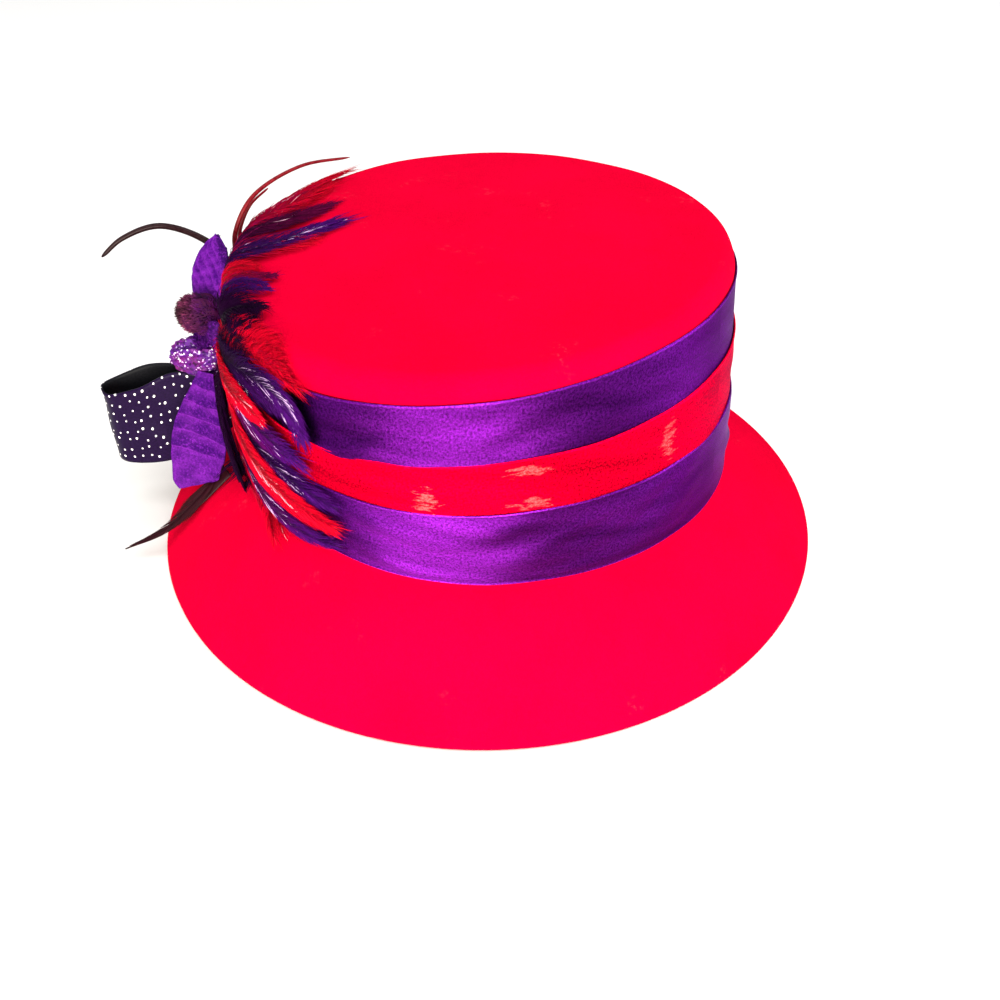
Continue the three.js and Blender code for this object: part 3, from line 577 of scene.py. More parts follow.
def add_mesh(name, verts, faces, material, node=None, corner_uv=None, tint=None):
    """A smooth mesh piece that rides on the hat and stands for a node of the frame."""
    mesh = bpy.data.meshes.new(name)
    mesh.vertices.add(len(verts))
    mesh.vertices.foreach_set("co", np.asarray(verts, np.float32).ravel())
    corners = np.concatenate([part.ravel() for part in faces]).astype(np.int32)
    sizes = np.concatenate([np.full(len(part), part.shape[1]) for part in faces])
    mesh.loops.add(len(corners))
    mesh.loops.foreach_set("vertex_index", corners)
    mesh.polygons.add(len(sizes))
    mesh.polygons.foreach_set("loop_start", (np.cumsum(sizes) - sizes).astype(np.int32))
    mesh.update(calc_edges=True)
    mesh.polygons.foreach_set("use_smooth", np.ones(len(sizes), bool))
    if corner_uv is not None:
        layer = mesh.uv_layers.new(name="cloth")
        layer.data.foreach_set("uv", np.asarray(corner_uv, np.float32).ravel())
    if tint is not None:
        colours = np.ones((len(verts), 4), np.float32)
        colours[:, :3] = tint
        mesh.color_attributes.new("tint", "FLOAT_COLOR", "POINT").data.foreach_set("color", colours.ravel())
    mesh.materials.append(material)
    piece = bpy.data.objects.new(name, mesh)
    bpy.context.scene.collection.objects.link(piece)
    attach(piece, BODY)
    if node:
        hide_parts(node)
    return piece


# A closed sheet's quads: each corner's step in rows and in columns, and 0 for the face or 1 for the back
SHEET_FACE = ((0, 0, 0), (0, 1, 0), (1, 1, 0), (1, 0, 0))
SHEET_BACK = ((1, 0, 1), (1, 1, 1), (0, 1, 1), (0, 0, 1))
FIRST_ROW = ((0, 0, 0), (0, 0, 1), (0, 1, 1), (0, 1, 0))
LAST_ROW = ((0, 1, 0), (0, 1, 1), (0, 0, 1), (0, 0, 0))
FIRST_COLUMN = ((1, 0, 0), (1, 0, 1), (0, 0, 1), (0, 0, 0))
LAST_COLUMN = ((0, 0, 0), (0, 0, 1), (1, 0, 1), (1, 0, 0))


def closed_sheet(grid, thickness, wrap=False):
    """A closed thin sheet over a grid of points: vertices, quads, and each quad corner's row and column."""
    rows, columns = grid.shape[:2]
    if wrap:
        around = np.concatenate([grid[:, -1:], grid, grid[:, :1]], axis=1)
        along = around[:, 2:] - around[:, :-2]
    else:
        along = np.gradient(grid, axis=1)
    normal = unit(np.cross(along, np.gradient(grid, axis=0)))
    verts = np.concatenate([grid.reshape(-1, 3), (grid - normal * thickness).reshape(-1, 3)])
    across = np.arange(columns if wrap else columns - 1)
    down = np.arange(rows - 1)
    r, c = (part.ravel() for part in np.meshgrid(down, across, indexing="ij"))
    sides = [(r, c, SHEET_FACE), (r, c, SHEET_BACK), (0, across, FIRST_ROW), (rows - 1, across, LAST_ROW)]
    if not wrap:
        sides += [(down, 0, FIRST_COLUMN), (down, columns - 1, LAST_COLUMN)]
    corners = np.concatenate([
        np.stack([np.stack(np.broadcast_arrays(row + row_step, column + column_step, side), axis=-1)
                  for row_step, column_step, side in steps], axis=1)
        for row, column, steps in sides])
    face_rows, face_columns, side = np.moveaxis(corners, -1, 0)
    indices = (side * rows + face_rows) * columns + face_columns % columns
    return verts, indices, face_rows, face_columns


def ring_quads(rows, columns):
    """Quads between rings of points, each ring joined end to end."""
    k = np.arange(columns)
    j = (k + 1) % columns
    first = np.stack([k, k + columns, j + columns, j], axis=1)
    return np.concatenate([first + row * columns for row in range(rows - 1)])


def end_fans(rows, columns):
    """Triangles from the first and the last ring to the two middle points that follow the rings."""
    k = np.arange(columns)
    j = (k + 1) % columns
    top = np.full_like(k, rows * columns)
    last = (rows - 1) * columns
    return np.concatenate([np.stack([top, k, j], axis=1), np.stack([top + 1, last + j, last + k], axis=1)])


def strands(points, side, normal, widths, thickness):
    """Closed slim strands, three-sided and drawn to a point: points is strand by station."""
    count, stations = points.shape[:2]
    half = widths[..., None] / 2
    ring = np.stack([points - side * half, points + side * half, points + normal * thickness], axis=2)
    body = ring[:, :-1].reshape(count, -1, 3)
    verts = np.concatenate([body, points[:, -1:]], axis=1)
    size = verts.shape[1]
    quads = []
    for s in range(stations - 2):
        for k in range(3):
            j = (k + 1) % 3
            quads.append([3 * s + k, 3 * s + j, 3 * s + 3 + j, 3 * s + 3 + k])
    last = 3 * (stations - 2)
    tris = [[0, 2, 1]] + [[last + k, last + (k + 1) % 3, size - 1] for k in range(3)]
    offset = (np.arange(count) * size)[:, None, None]
    quads = (np.array(quads)[None] + offset).reshape(-1, 4)
    tris = (np.array(tris)[None] + offset).reshape(-1, 3)
    station = np.concatenate([np.repeat(np.arange(stations - 1), 3), [stations - 1]])
    return verts.reshape(-1, 3), quads, tris, station


def tube(path, radii, sides):
    """A closed round tube along a path, which never runs along the aside direction."""
    aside = np.array([0.31, 0.17, 0.93])
    run = unit(np.gradient(path, axis=0))
    first = unit(np.cross(run, aside))
    around = spokes(first, np.cross(run, first), sides)
    verts = (path[:, None] + around * radii[:, None, None]).reshape(-1, 3)
    quads = ring_quads(len(path), sides)[:, [0, 3, 2, 1]]
    ring = np.arange(sides)[None]
    return verts, [quads, ring[:, ::-1], (len(path) - 1) * sides + ring]


def joined(parts):
    """Several (vertices, face arrays, tints) put together as one."""
    verts, faces, tints, offset = [], {3: [], 4: []}, [], 0
    for part_verts, part_faces, part_tint in parts:
        for block in part_faces:
            faces[block.shape[1]].append(block + offset)
        verts.append(part_verts)
        tints.append(part_tint)
        offset += len(part_verts)
    blocks = [np.concatenate(faces[n]) for n in (3, 4) if faces[n]]
    return np.concatenate(verts), blocks, np.concatenate(tints)


def node(tree, kind, inputs=None, **settings):
    """A shader node with its settings and its inputs, linked or set."""
    made = tree.nodes.new(kind)
    for key, value in settings.items():
        setattr(made, key, value)
    for key, value in (inputs or {}).items():
        if isinstance(value, bpy.types.NodeSocket):
            tree.links.new(value, made.inputs[key])
        else:
            made.inputs[key].default_value = value
    return made


def principled(name, **sockets):
    """A new material, its node tree and its surface node, with the given constant sockets."""
    material = bpy.data.materials.new(name)
    material.use_nodes = True
    tree = material.node_tree
    surface = tree.nodes["Principled BSDF"]
    for key, value in sockets.items():
        surface.inputs[key.replace("_", " ")].default_value = value
    return material, tree, surface


def rgba(colour):
    """A colour with full cover."""
    return (*colour, 1.0)


def wired(tree, surface, **sockets):
    """Links values to a surface's sockets."""
    for key, value in sockets.items():
        tree.links.new(value, surface.inputs[key.replace("_", " ")])


def object_places(tree):
    """Coordinates on the piece, in metres."""
    return node(tree, "ShaderNodeTexCoord").outputs["Object"]


def cloth_places(tree):
    """Coordinates on the flat cloth, in metres."""
    return node(tree, "ShaderNodeUVMap", uv_map="cloth").outputs[0]


def painted_tint(tree):
    """The colour painted on each point."""
    return node(tree, "ShaderNodeVertexColor", layer_name="tint").outputs["Color"]


def channel(tree, colour, index):
    """One part of a colour: 0 for red, 1 for green, 2 for blue."""
    return node(tree, "ShaderNodeSeparateColor", {0: colour}).outputs[index]


def blended(tree, share, first, second, mode="MIX"):
    """The output of a colour mix."""
    made = node(tree, "ShaderNodeMix", {0: share, 6: first, 7: second}, data_type="RGBA", blend_type=mode)
    return made.outputs[2]


def shaded(tree, colour, shade):
    """A colour made darker or lighter by a value."""
    return blended(tree, 1.0, colour, shade, "MULTIPLY")


def ranged(tree, value, low, high, to_low=0.0, to_high=1.0):
    """A value stretched from one range to another and held inside it."""
    inputs = {"Value": value, 1: low, 2: high, 3: to_low, 4: to_high}
    return node(tree, "ShaderNodeMapRange", inputs, clamp=True).outputs[0]


def noise_value(tree, coords, scale, detail=3.0, roughness=0.55, distortion=0.0):
    """A soft random value."""
    inputs = {"Vector": coords, "Scale": scale, "Detail": detail, "Roughness": roughness,
              "Distortion": distortion}
    return node(tree, "ShaderNodeTexNoise", inputs).outputs["Fac"]


def cloth_noise(tree, cloth, along, across, detail, roughness=0.55, distortion=0.0):
    """A soft random value on cloth, with a scale of its own along the cloth and across it."""
    coords = node(tree, "ShaderNodeMapping", {"Vector": cloth, "Scale": (along, across, 1.0)}).outputs[0]
    return noise_value(tree, coords, 1.0, detail, roughness, distortion)


def math_value(tree, operation, first, second):
    """A sum, a difference or the like of two values."""
    return node(tree, "ShaderNodeMath", {0: first, 1: second}, operation=operation).outputs[0]


def product(tree, first, second):
    """Two values multiplied."""
    return math_value(tree, "MULTIPLY", first, second)


def bumped(tree, surface, height, strength, distance, before=None):
    """Adds relief to a surface from a height, and returns the normal."""
    inputs = {"Height": height, "Strength": strength, "Distance": distance}
    if before is not None:
        inputs["Normal"] = before
    normal = node(tree, "ShaderNodeBump", inputs).outputs[0]
    wired(tree, surface, Normal=normal)
    return normal


def felt_material(felt):
    """Matte wool felt: a fine nap of short fibres, soft mottling and a few pale scuffs."""
    material, tree, surface = principled(
        "red_felt", Roughness=0.95, Specular_IOR_Level=0.0, Sheen_Weight=0.02, Sheen_Roughness=0.5,
        Sheen_Tint=(1.0, 0.1, 0.2, 1.0))
    coords = object_places(tree)
    mottle = noise_value(tree, coords, 26.0, 4.0)
    nap = noise_value(tree, coords, 2300.0, 2.0)
    fibres = noise_value(tree, coords, 640.0, 4.0, 0.65, 1.6)
    tone = blended(tree, ranged(tree, mottle, 0.3, 0.62), rgba(felt.deep), rgba(felt.colour))
    tone = shaded(tree, tone, ranged(tree, fibres, 0.25, 0.75, 0.84, 1.06))
    patches = ranged(tree, noise_value(tree, coords, 42.0, 2.0), 0.62, 0.74)
    flecks = ranged(tree, noise_value(tree, coords, 420.0, 5.0, 0.7), 0.54, 0.70)
    scuff = product(tree, product(tree, patches, flecks), 0.34)
    wired(tree, surface, Base_Color=blended(tree, scuff, tone, rgba(felt.lint)))
    first = bumped(tree, surface, fibres, 0.4, 0.4 * MM)
    bumped(tree, surface, nap, 0.35, 0.2 * MM, first)
    return material


def satin_material(ribbon, row):
    """Satin ribbon: a bright sheen right across it, broken by the grain of its threads, with painted
    highlight along its edges and in patches, and painted fold shade.
    """
    ground, painted_highlight = (rgba(getattr(ribbon, row[key])) for key in ("ground", "painted_highlight"))
    material, tree, surface = principled(
        row["satin"], Metallic=row["metal"], Specular_IOR_Level=0.0, Specular_Tint=(0.8, 0.5, 0.9, 1.0),
        Anisotropic=0.97, Anisotropic_Rotation=0.25 + row["lean"])
    cloth = cloth_places(tree)
    leaning = node(tree, "ShaderNodeMapping", {"Vector": cloth, "Rotation": (0.0, 0.0, 0.14)}).outputs[0]
    grain = cloth_noise(tree, cloth, 1250.0, 1250.0, 3.0, 0.8)
    ribs = cloth_noise(tree, cloth, 3000.0, 260.0, 1.0)
    # Long soft diagonal streaks: they vary the roughness and darken the ground as painted fold shade
    clouds = cloth_noise(tree, leaning, 18.0, 120.0, 3.0, 0.5)
    patches = cloth_noise(tree, cloth, 150.0, 520.0, 4.0, 0.75, 0.5)
    tint = painted_tint(tree)
    # The tint: red brightens the edges as painted highlight, green marks the patches of painted highlight
    edge, highlighted = (channel(tree, tint, index) for index in (0, 1))
    ragged = math_value(tree, "ADD", highlighted, ranged(tree, patches, 0.25, 0.75, -1.1, 1.1))
    sparkle = ranged(tree, grain, 0.42, 0.62, 0.25, 1.0)
    # How much painted highlight colour shows: only in its patches, broken by the grain
    share = product(tree, sparkle, ranged(tree, ragged, 0.3, 0.62, 0.0, row["gleam"]))
    grained = ranged(tree, grain, 0.37, 0.63, 0.36, 1.64)
    fold_shade_and_grain = product(tree, ranged(tree, clouds, 0.34, 0.62, 0.62, 1.08), grained)
    # The ground darkened by painted fold shade and grain, and brightened by the painted edge highlight
    base = shaded(tree, shaded(tree, ground, fold_shade_and_grain), edge)
    rough = math_value(tree, "ADD", ranged(tree, grain, 0.3, 0.7, 0.0, 0.1),
                       ranged(tree, clouds, 0.3, 0.7, 0.47, 0.40))
    tangent = node(tree, "ShaderNodeTangent", direction_type="RADIAL", axis="Z").outputs[0]
    wired(tree, surface, Base_Color=blended(tree, share, base, painted_highlight), Roughness=rough, Tangent=tangent)
    first = bumped(tree, surface, grain, 0.42, 0.3 * MM)
    bumped(tree, surface, ribs, 0.2, 0.08 * MM, first)
    return material


def tinted_material(name, roughness, grain_scale, specular):
    """A finish whose colour is painted strand by strand, with a fine streak along it."""
    material, tree, surface = principled(name, Specular_IOR_Level=specular)
    streak = noise_value(tree, object_places(tree), grain_scale, 3.0, 0.6, 0.4)
    tone = shaded(tree, painted_tint(tree), ranged(tree, streak, 0.2, 0.8, 0.85, 1.1))
    rough = ranged(tree, streak, 0.3, 0.7, roughness - 0.1, roughness + 0.12)
    wired(tree, surface, Base_Color=tone, Roughness=rough)
    return material


def petal_material(flower):
    """Creased flower cloth: speckled violet, painted lavender along its folds as highlight."""
    material, tree, surface = principled("petal_cloth", Roughness=0.7, Specular_IOR_Level=0.04)
    coords = object_places(tree)
    speckle = noise_value(tree, coords, 1150.0, 3.0, 0.75)
    cloud = noise_value(tree, coords, 260.0, 3.0)
    share = product(tree, ranged(tree, speckle, 0.5, 0.66), ranged(tree, cloud, 0.3, 0.7, 0.2, 0.75))
    pale = rgba([1.25 * part for part in flower.lavender])
    deep = rgba([0.4 * part for part in flower.violet])
    tone = blended(tree, share, painted_tint(tree), pale)
    tone = blended(tree, ranged(tree, speckle, 0.32, 0.46, 0.65, 0.0), tone, deep)
    wired(tree, surface, Base_Color=tone)
    first = bumped(tree, surface, speckle, 0.5, 0.2 * MM)
    bumped(tree, surface, cloud, 0.3, 0.5 * MM, first)
    return material


def glitter_material(flower):
    """Gathered mesh with glitter caught in it: each speck has its own tone."""
    material, tree, surface = principled("glitter_mesh", Specular_IOR_Level=0.15)
    coords = object_places(tree)
    cells = node(tree, "ShaderNodeTexVoronoi", {"Vector": coords, "Scale": 1500.0})
    bright = ranged(tree, channel(tree, cells.outputs["Color"], 0), 0.9, 0.99)
    holes = ranged(tree, noise_value(tree, coords, 900.0, 2.0), 0.36, 0.5, 0.25, 1.0)
    patch = ranged(tree, noise_value(tree, coords, 210.0, 2.0), 0.42, 0.62)
    tone = shaded(tree, blended(tree, patch, rgba(flower.net), rgba(flower.net_patch)), holes)
    tone = blended(tree, product(tree, bright, 0.7), tone, rgba(flower.glitter))
    wired(tree, surface, Base_Color=tone, Roughness=ranged(tree, bright, 0.0, 1.0, 0.5, 0.12))
    bumped(tree, surface, cells.outputs["Distance"], 0.6, 0.25 * MM)
    return material


def flake_material():
    """Bright glitter flakes, some white and some lilac."""
    material, tree, surface = principled(
        "glitter_flakes", Roughness=0.14, Metallic=0.25, Specular_IOR_Level=0.9)
    share = ranged(tree, noise_value(tree, object_places(tree), 800.0), 0.3, 0.7)
    white, lilac = (0.98, 0.95, 1.0, 1.0), (0.80, 0.62, 0.98, 1.0)
    wired(tree, surface, Base_Color=blended(tree, share, white, lilac))
    return material


def dotted_material(loop):
    """Dark satin with small white dots on its face and a plain back, told apart by their blue."""
    material, tree, surface = principled("dotted_satin", Specular_IOR_Level=0.05)
    cloth = cloth_places(tree)
    inputs = {"Vector": cloth, "Scale": 1.0 / loop.dot_spacing, "Randomness": 0.5}
    cells = node(tree, "ShaderNodeTexVoronoi", inputs, voronoi_dimensions="2D")
    radius = ranged(tree, channel(tree, cells.outputs["Color"], 0), 0.0, 1.0, 0.076, 0.128)
    dots = ranged(tree, math_value(tree, "SUBTRACT", radius, cells.outputs["Distance"]), -0.012, 0.012)
    face = painted_tint(tree)
    weave = cloth_noise(tree, cloth, 900.0, 2600.0, 2.0)
    ground = shaded(tree, face, ranged(tree, weave, 0.3, 0.7, 0.7, 1.5))
    front = ranged(tree, channel(tree, face, 2), 0.010, 0.016)
    tone = blended(tree, product(tree, dots, front), ground, rgba(loop.dot))
    wired(tree, surface, Base_Color=tone, Roughness=ranged(tree, weave, 0.3, 0.7, 0.34, 0.5))
    bumped(tree, surface, weave, 0.3, 0.1 * MM)
    return material


def quill_material(name, colour):
    """A smooth dyed quill with faint streaks along it."""
    material, tree, surface = principled(name, Specular_IOR_Level=0.09)
    streak = noise_value(tree, object_places(tree), 420.0, 4.0, 0.6, 1.2)
    lighter = rgba([min(1, 1.8 * part + 0.004) for part in colour])
    tone = blended(tree, ranged(tree, streak, 0.35, 0.7), rgba(colour), lighter)
    wired(tree, surface, Base_Color=tone, Roughness=ranged(tree, streak, 0.3, 0.7, 0.22, 0.42))
    bumped(tree, surface, streak, 0.2, 0.15 * MM)
    return material


def floor_material(stage):
    """A plain pale floor with the faintest unevenness."""
    material, tree, surface = principled("pale_floor", Roughness=0.7, Specular_IOR_Level=0.2)
    cloud = ranged(tree, noise_value(tree, object_places(tree), 3.0), 0.3, 0.7, 0.97, 1.0)
    wired(tree, surface, Base_Color=shaded(tree, rgba(stage.floor), cloud))
    return material


class HAT_OT_felt(bpy.types.Operator):
    """Make the felt crown and brim"""

    bl_idname = "hat.felt"
    bl_label = "Felt crown and brim"

    def execute(self, context):
        felt = context.scene.hat.felt
        shape = HatShape(felt)
        profile = shape.profile()
        angle = full_turn(felt.segments)
        rings = shape.hat_point(angle[None], profile[1:-1, :1], profile[1:-1, 1:])
        ends = [shape.hat_point(np.zeros(1), profile[[k], 0], profile[[k], 1]) for k in (0, -1)]
        verts = np.concatenate([rings.reshape(-1, 3), *ends])
        wobble = np.stack([soft_noise(verts, FELT_WAVES["length"] * MM, seed) for seed in (3, 4, 5)], axis=1)
        fade = np.clip(verts[:, 2:] / (FELT_WAVES["full"] * MM), 0, 1)
        verts = verts + wobble * fade * FELT_WAVES["height"] * MM
        faces = [ring_quads(len(rings), felt.segments), end_fans(len(rings), felt.segments)]
        add_mesh("felt_hat", verts, faces, felt_material(felt), "felt_body")
        return {"FINISHED"}


class HAT_OT_ribbons(bpy.types.Operator):
    """Make the three satin ribbons round the crown"""

    bl_idname = "hat.ribbons"
    bl_label = "Satin ribbons"

    def execute(self, context):
        ribbon = context.scene.hat.ribbon
        shape = HatShape(context.scene.hat.felt)
        for row in RIBBONS:
            self.band(shape, ribbon, row)
        return {"FINISHED"}

    def band(self, shape, ribbon, row):
        """One ribbon, with its folds and its beaded edges, and a painted highlight along the edges and in
        patches.
        """
        columns, seed = 360, row["seed"]
        angle = full_turn(columns)
        low = shape.edge_height(row["bottom"], angle) - ribbon.overlap * row["tuck"]
        high = shape.edge_height(row["top"], angle)
        width = float(np.mean(high - low))
        edge = np.array(EDGE_ROWS) * MM / width
        inner = np.linspace(edge[-1], 1 - edge[-1], 26)[1:-1]
        share = np.concatenate([edge, inner, 1 - edge[::-1]])
        girth = np.linalg.norm(np.diff(shape.crown_plan(np.append(angle, 2 * np.pi)), axis=0), axis=1)
        run = np.concatenate([[0], np.cumsum(girth)])
        away = np.minimum(share, 1 - share) * width
        bead, edge_highlight = (bell(away, middle * MM, half * MM) for middle, half in (BEAD, EDGE_HIGHLIGHT))
        u, v = np.meshgrid(run[:-1] / run[-1] * 2 * np.pi, share * width, indexing="xy")
        slope = v + FOLDS["sway"] * np.sin(3 * u + seed)
        circle = [way(u) * FOLDS["round"] / FOLDS["length"] for way in (np.cos, np.sin)]
        around = np.stack([*circle, slope / FOLDS["height"]], axis=-1)
        folds = soft_noise(around, 1.0, seed)
        calm = np.clip(0.5 + 0.8 * soft_noise(around[..., :2], 1.4, seed + 20), 0, 1)
        hump = np.clip(away / (4 * MM), 0, 1)[:, None]
        lift = ribbon.pucker * np.clip(0.5 + 0.6 * folds, 0, 1.3) * calm * hump
        step = ribbon.step * row["step"] * share[:, None]
        stand = ribbon.stand + step + ribbon.selvedge * bead[:, None] + lift
        wave = 0.25 * MM * soft_noise(around[..., :2], 0.8, seed + 40) * np.abs(2 * share[:, None] - 1)
        height = mix(low[None], high[None], share[:, None]) + wave
        grid = shape.wall_point(np.broadcast_to(angle, height.shape), height, stand)
        verts, quads, face_rows, face_columns = closed_sheet(grid, ribbon.thickness, wrap=True)
        uv = np.stack([run[face_columns], (share * width)[face_rows]], axis=-1)
        # Patches of painted highlight, placed where the satin catches the light
        painted_light = np.zeros((len(share), columns))
        for turn, level, turn_half, level_half in row["highlight_spots"]:
            spot = bell(np.degrees(angle), turn, turn_half)[None] * bell(share[:, None], level, level_half)
            painted_light = np.maximum(painted_light, spot)
        tint = np.full((len(share), columns, 3), -0.9)
        # Painted highlight: the tint's red part brightens the satin along both edges
        tint[..., 0] = 1 + 1.4 * edge_highlight[:, None]
        tint[..., 1] = 1.6 * painted_light - 0.9
        tint = np.tile(tint.reshape(-1, 3), (2, 1))
        piece = add_mesh(f"{row['name']}_satin_ribbon", verts, [quads], satin_material(ribbon, row),
                         f"{row['name']}_ribbon", uv, tint)


class HAT_OT_plume(bpy.types.Operator):
    """Make the fan of hackle feathers"""

    bl_idname = "hat.plume"
    bl_label = "Feather plume"

    def execute(self, context):
        plume = context.scene.hat.plume
        shape = HatShape(context.scene.hat.felt)
        rng = np.random.default_rng(71)
        material = tinted_material("hackle_feathers", 0.5, 900.0, 0.03)
        groups = (("crown_hackles", CROWN_ROOT, CROWN_HACKLES), ("wall_hackles", WALL_ROOT, WALL_HACKLES))
        for name, root, rows in groups:
            parts = []
            for values in rows:
                row = dict(zip(HACKLE_COLUMNS, values))
                for number in range(row["tuft"]):
                    parts += self.hackle(shape, plume, root, row, number, rng)
            verts, faces, tint = joined(parts)
            add_mesh(name, verts, faces, material, "feather_plume", tint=tint)
        return {"FINISHED"}

    def rib(self, shape, root, row, u, drift):
        """The rib's points, faces and sides at shares of its length."""
        root, middle, tip = (np.array(place, float) for place in (root, row["middle"], row["tip"]))
        root, middle, tip = root + drift[0], middle + drift[1], tip + drift[2]
        bend = 2 * middle - (root + tip) / 2
        share = u[:, None]
        angle, level, stand = ((1 - share) ** 2 * root + 2 * share * (1 - share) * bend + share ** 2 * tip).T
        points, face = shape.skin_point(np.radians(angle), level * MM, np.maximum(stand, 0.8) * MM)
        run = unit(np.gradient(points, axis=0))
        side = unit(np.cross(face, run))
        return points, unit(np.cross(run, side)), side

    def hackle(self, shape, plume, root, row, number, rng):
        """One hackle: a rib, a soft vane and its barbs."""
        spread = np.array([3.0, 3.0, 0.6]) * (0.25 if number == 0 else 1.0 + 0.6 * row["soft"])
        drift = rng.uniform(-1, 1, (3, 3)) * spread * np.array([[0.6], [0.8], [1.0]])
        width = row["width"] * rng.uniform(0.8, 1.1) * MM
        u = np.linspace(0, 1.25, 76)
        points, face, side = self.rib(shape, root, row, u, drift)
        long = float(np.linalg.norm(np.diff(points[u <= 1], axis=0), axis=1).sum())
        dyes = [np.array(getattr(plume, dye)) for dye in row["dyes"]]
        vane_width = width * (1 - 0.85 * row["soft"])
        return [self.shaft(u, points, dyes), self.vane(u, points, face, side, vane_width, dyes),
                self.barbs(plume, row, u, points, face, side, width, long, dyes, rng)]

    def shaft(self, u, points, dyes):
        """The rib itself, drawn to a point."""
        keep = np.nonzero(u <= 1.0)[0][::4]
        radii = mix(0.34, 0.06, u[keep]) * MM
        verts, faces = tube(points[keep], radii, 4)
        tint = np.repeat(mix(dyes[0], dyes[1], u[keep][:, None]) * 0.8 + 0.01, 4, axis=0)
        return verts, faces, tint

    def vane(self, u, points, face, side, width, dyes):
        """The thin dark web under the barbs."""
        keep = np.nonzero(u <= 0.94)[0][::4]
        across = np.linspace(-1, 1, 5)
        half = width * leaf_width("hackle", u[keep]) * 0.36
        droop = -0.1 * width * across ** 2
        grid = (points[keep][None] + side[keep][None] * (across[:, None] * half[None])[..., None]
                + face[keep][None] * (droop[:, None, None] - 0.3 * MM))
        verts, quads = closed_sheet(grid, 0.2 * MM)[:2]
        tint = np.tile(mix(dyes[0], dyes[1], u[keep][:, None]) * 0.7, (2 * len(across), 1))
        return verts, [quads], tint

    def barbs(self, plume, row, u, points, face, side, width, long, dyes, rng):
        """Fine silky barbs that sweep forward from the rib, downy near the root, a few pale with painted
        glints.
        """
        count, stations = 2 * plume.barbs, 4
        start = np.sort(rng.uniform(0.03, 0.96, count))
        downy = np.clip(1 - start / BARBS["downy"], 0, 1)
        hand = by_turns(count)
        soft = row["soft"]
        half = width * leaf_width("hackle", start) / 2 * (1 + 0.3 * downy)
        half = half * rng.uniform(0.85 - 0.35 * soft, 1.1 + 0.25 * soft, count)
        loose = 1.5 + 7 * downy + 4 * soft
        slant = np.radians(mix(*BARBS["slant"], start) + rng.normal(0, 1, count) * loose)
        ahead = np.minimum(half / np.tan(np.clip(slant, 0.12, 1.3)), BARBS["longest"] * long)
        ahead = ahead * rng.uniform(1 - 0.5 * soft, 1 + 0.3 * soft, count)
        # Painted glints: a patch of barbs on one side of the rib turns pale towards the tips
        bright = rng.uniform(0.3, 0.75)
        near = bell(start, bright, BARBS["bare"]) * np.where(hand == rng.choice([-1, 1]), 1.0, 0.25)
        bare = rng.random(count) < row["pale"] * (0.05 + 1.7 * near)
        half = np.where(bare, 0.55 * half, half)
        t = np.linspace(0, 1, stations)
        place = start[:, None] + ahead[:, None] * t / long
        out = hand[:, None] * half[:, None] * (1 - (1 - t) ** 1.7)
        middle, sides, faces = read_along(place, u, (points, side, face))
        lift = rng.normal(0, 1, count)[:, None] * (0.12 + 0.8 * downy[:, None] + 0.35 * soft) * t ** 2
        lift = (lift - 0.9 * t * half[:, None] / width) * MM
        path = middle + sides * out[..., None] + faces * (lift + 0.1 * MM)[..., None]
        run = unit(np.gradient(path, axis=1))
        flat = unit(np.cross(faces, run))
        widths = plume.barb_width * (1 - 0.3 * soft) * (1 - 0.6 * t)[None]
        widths = widths * rng.uniform(0.8, 1.2, count)[:, None]
        thickness = BARBS["thickness"] * MM
        verts, quads, tris, station = strands(path, flat, unit(np.cross(run, flat)), widths, thickness)
        turn = np.clip(1.6 * start - 0.4 + rng.normal(0, 0.12, count), 0, 1)[:, None] + 0.35 * soft * t[None]
        dye = mix(dyes[0], dyes[1], np.clip(turn, 0, 1)[..., None])
        shade = rng.uniform(0.8 - 0.2 * soft, 1.2, count)[:, None] * mix(0.75, 1.1, t)[None]
        colour = dye * shade[..., None]
        # The painted glint: pale barbs' tips tinted towards a whitish highlight
        pale = bare[:, None] * np.clip(t * 1.6 - 0.2, 0, 0.75)[None]
        glint = mix(np.array(plume.pale), unit(dyes[1]), 0.3)
        colour = mix(colour, glint, pale[..., None])
        return verts, [quads, tris], colour[:, station].reshape(-1, 3)


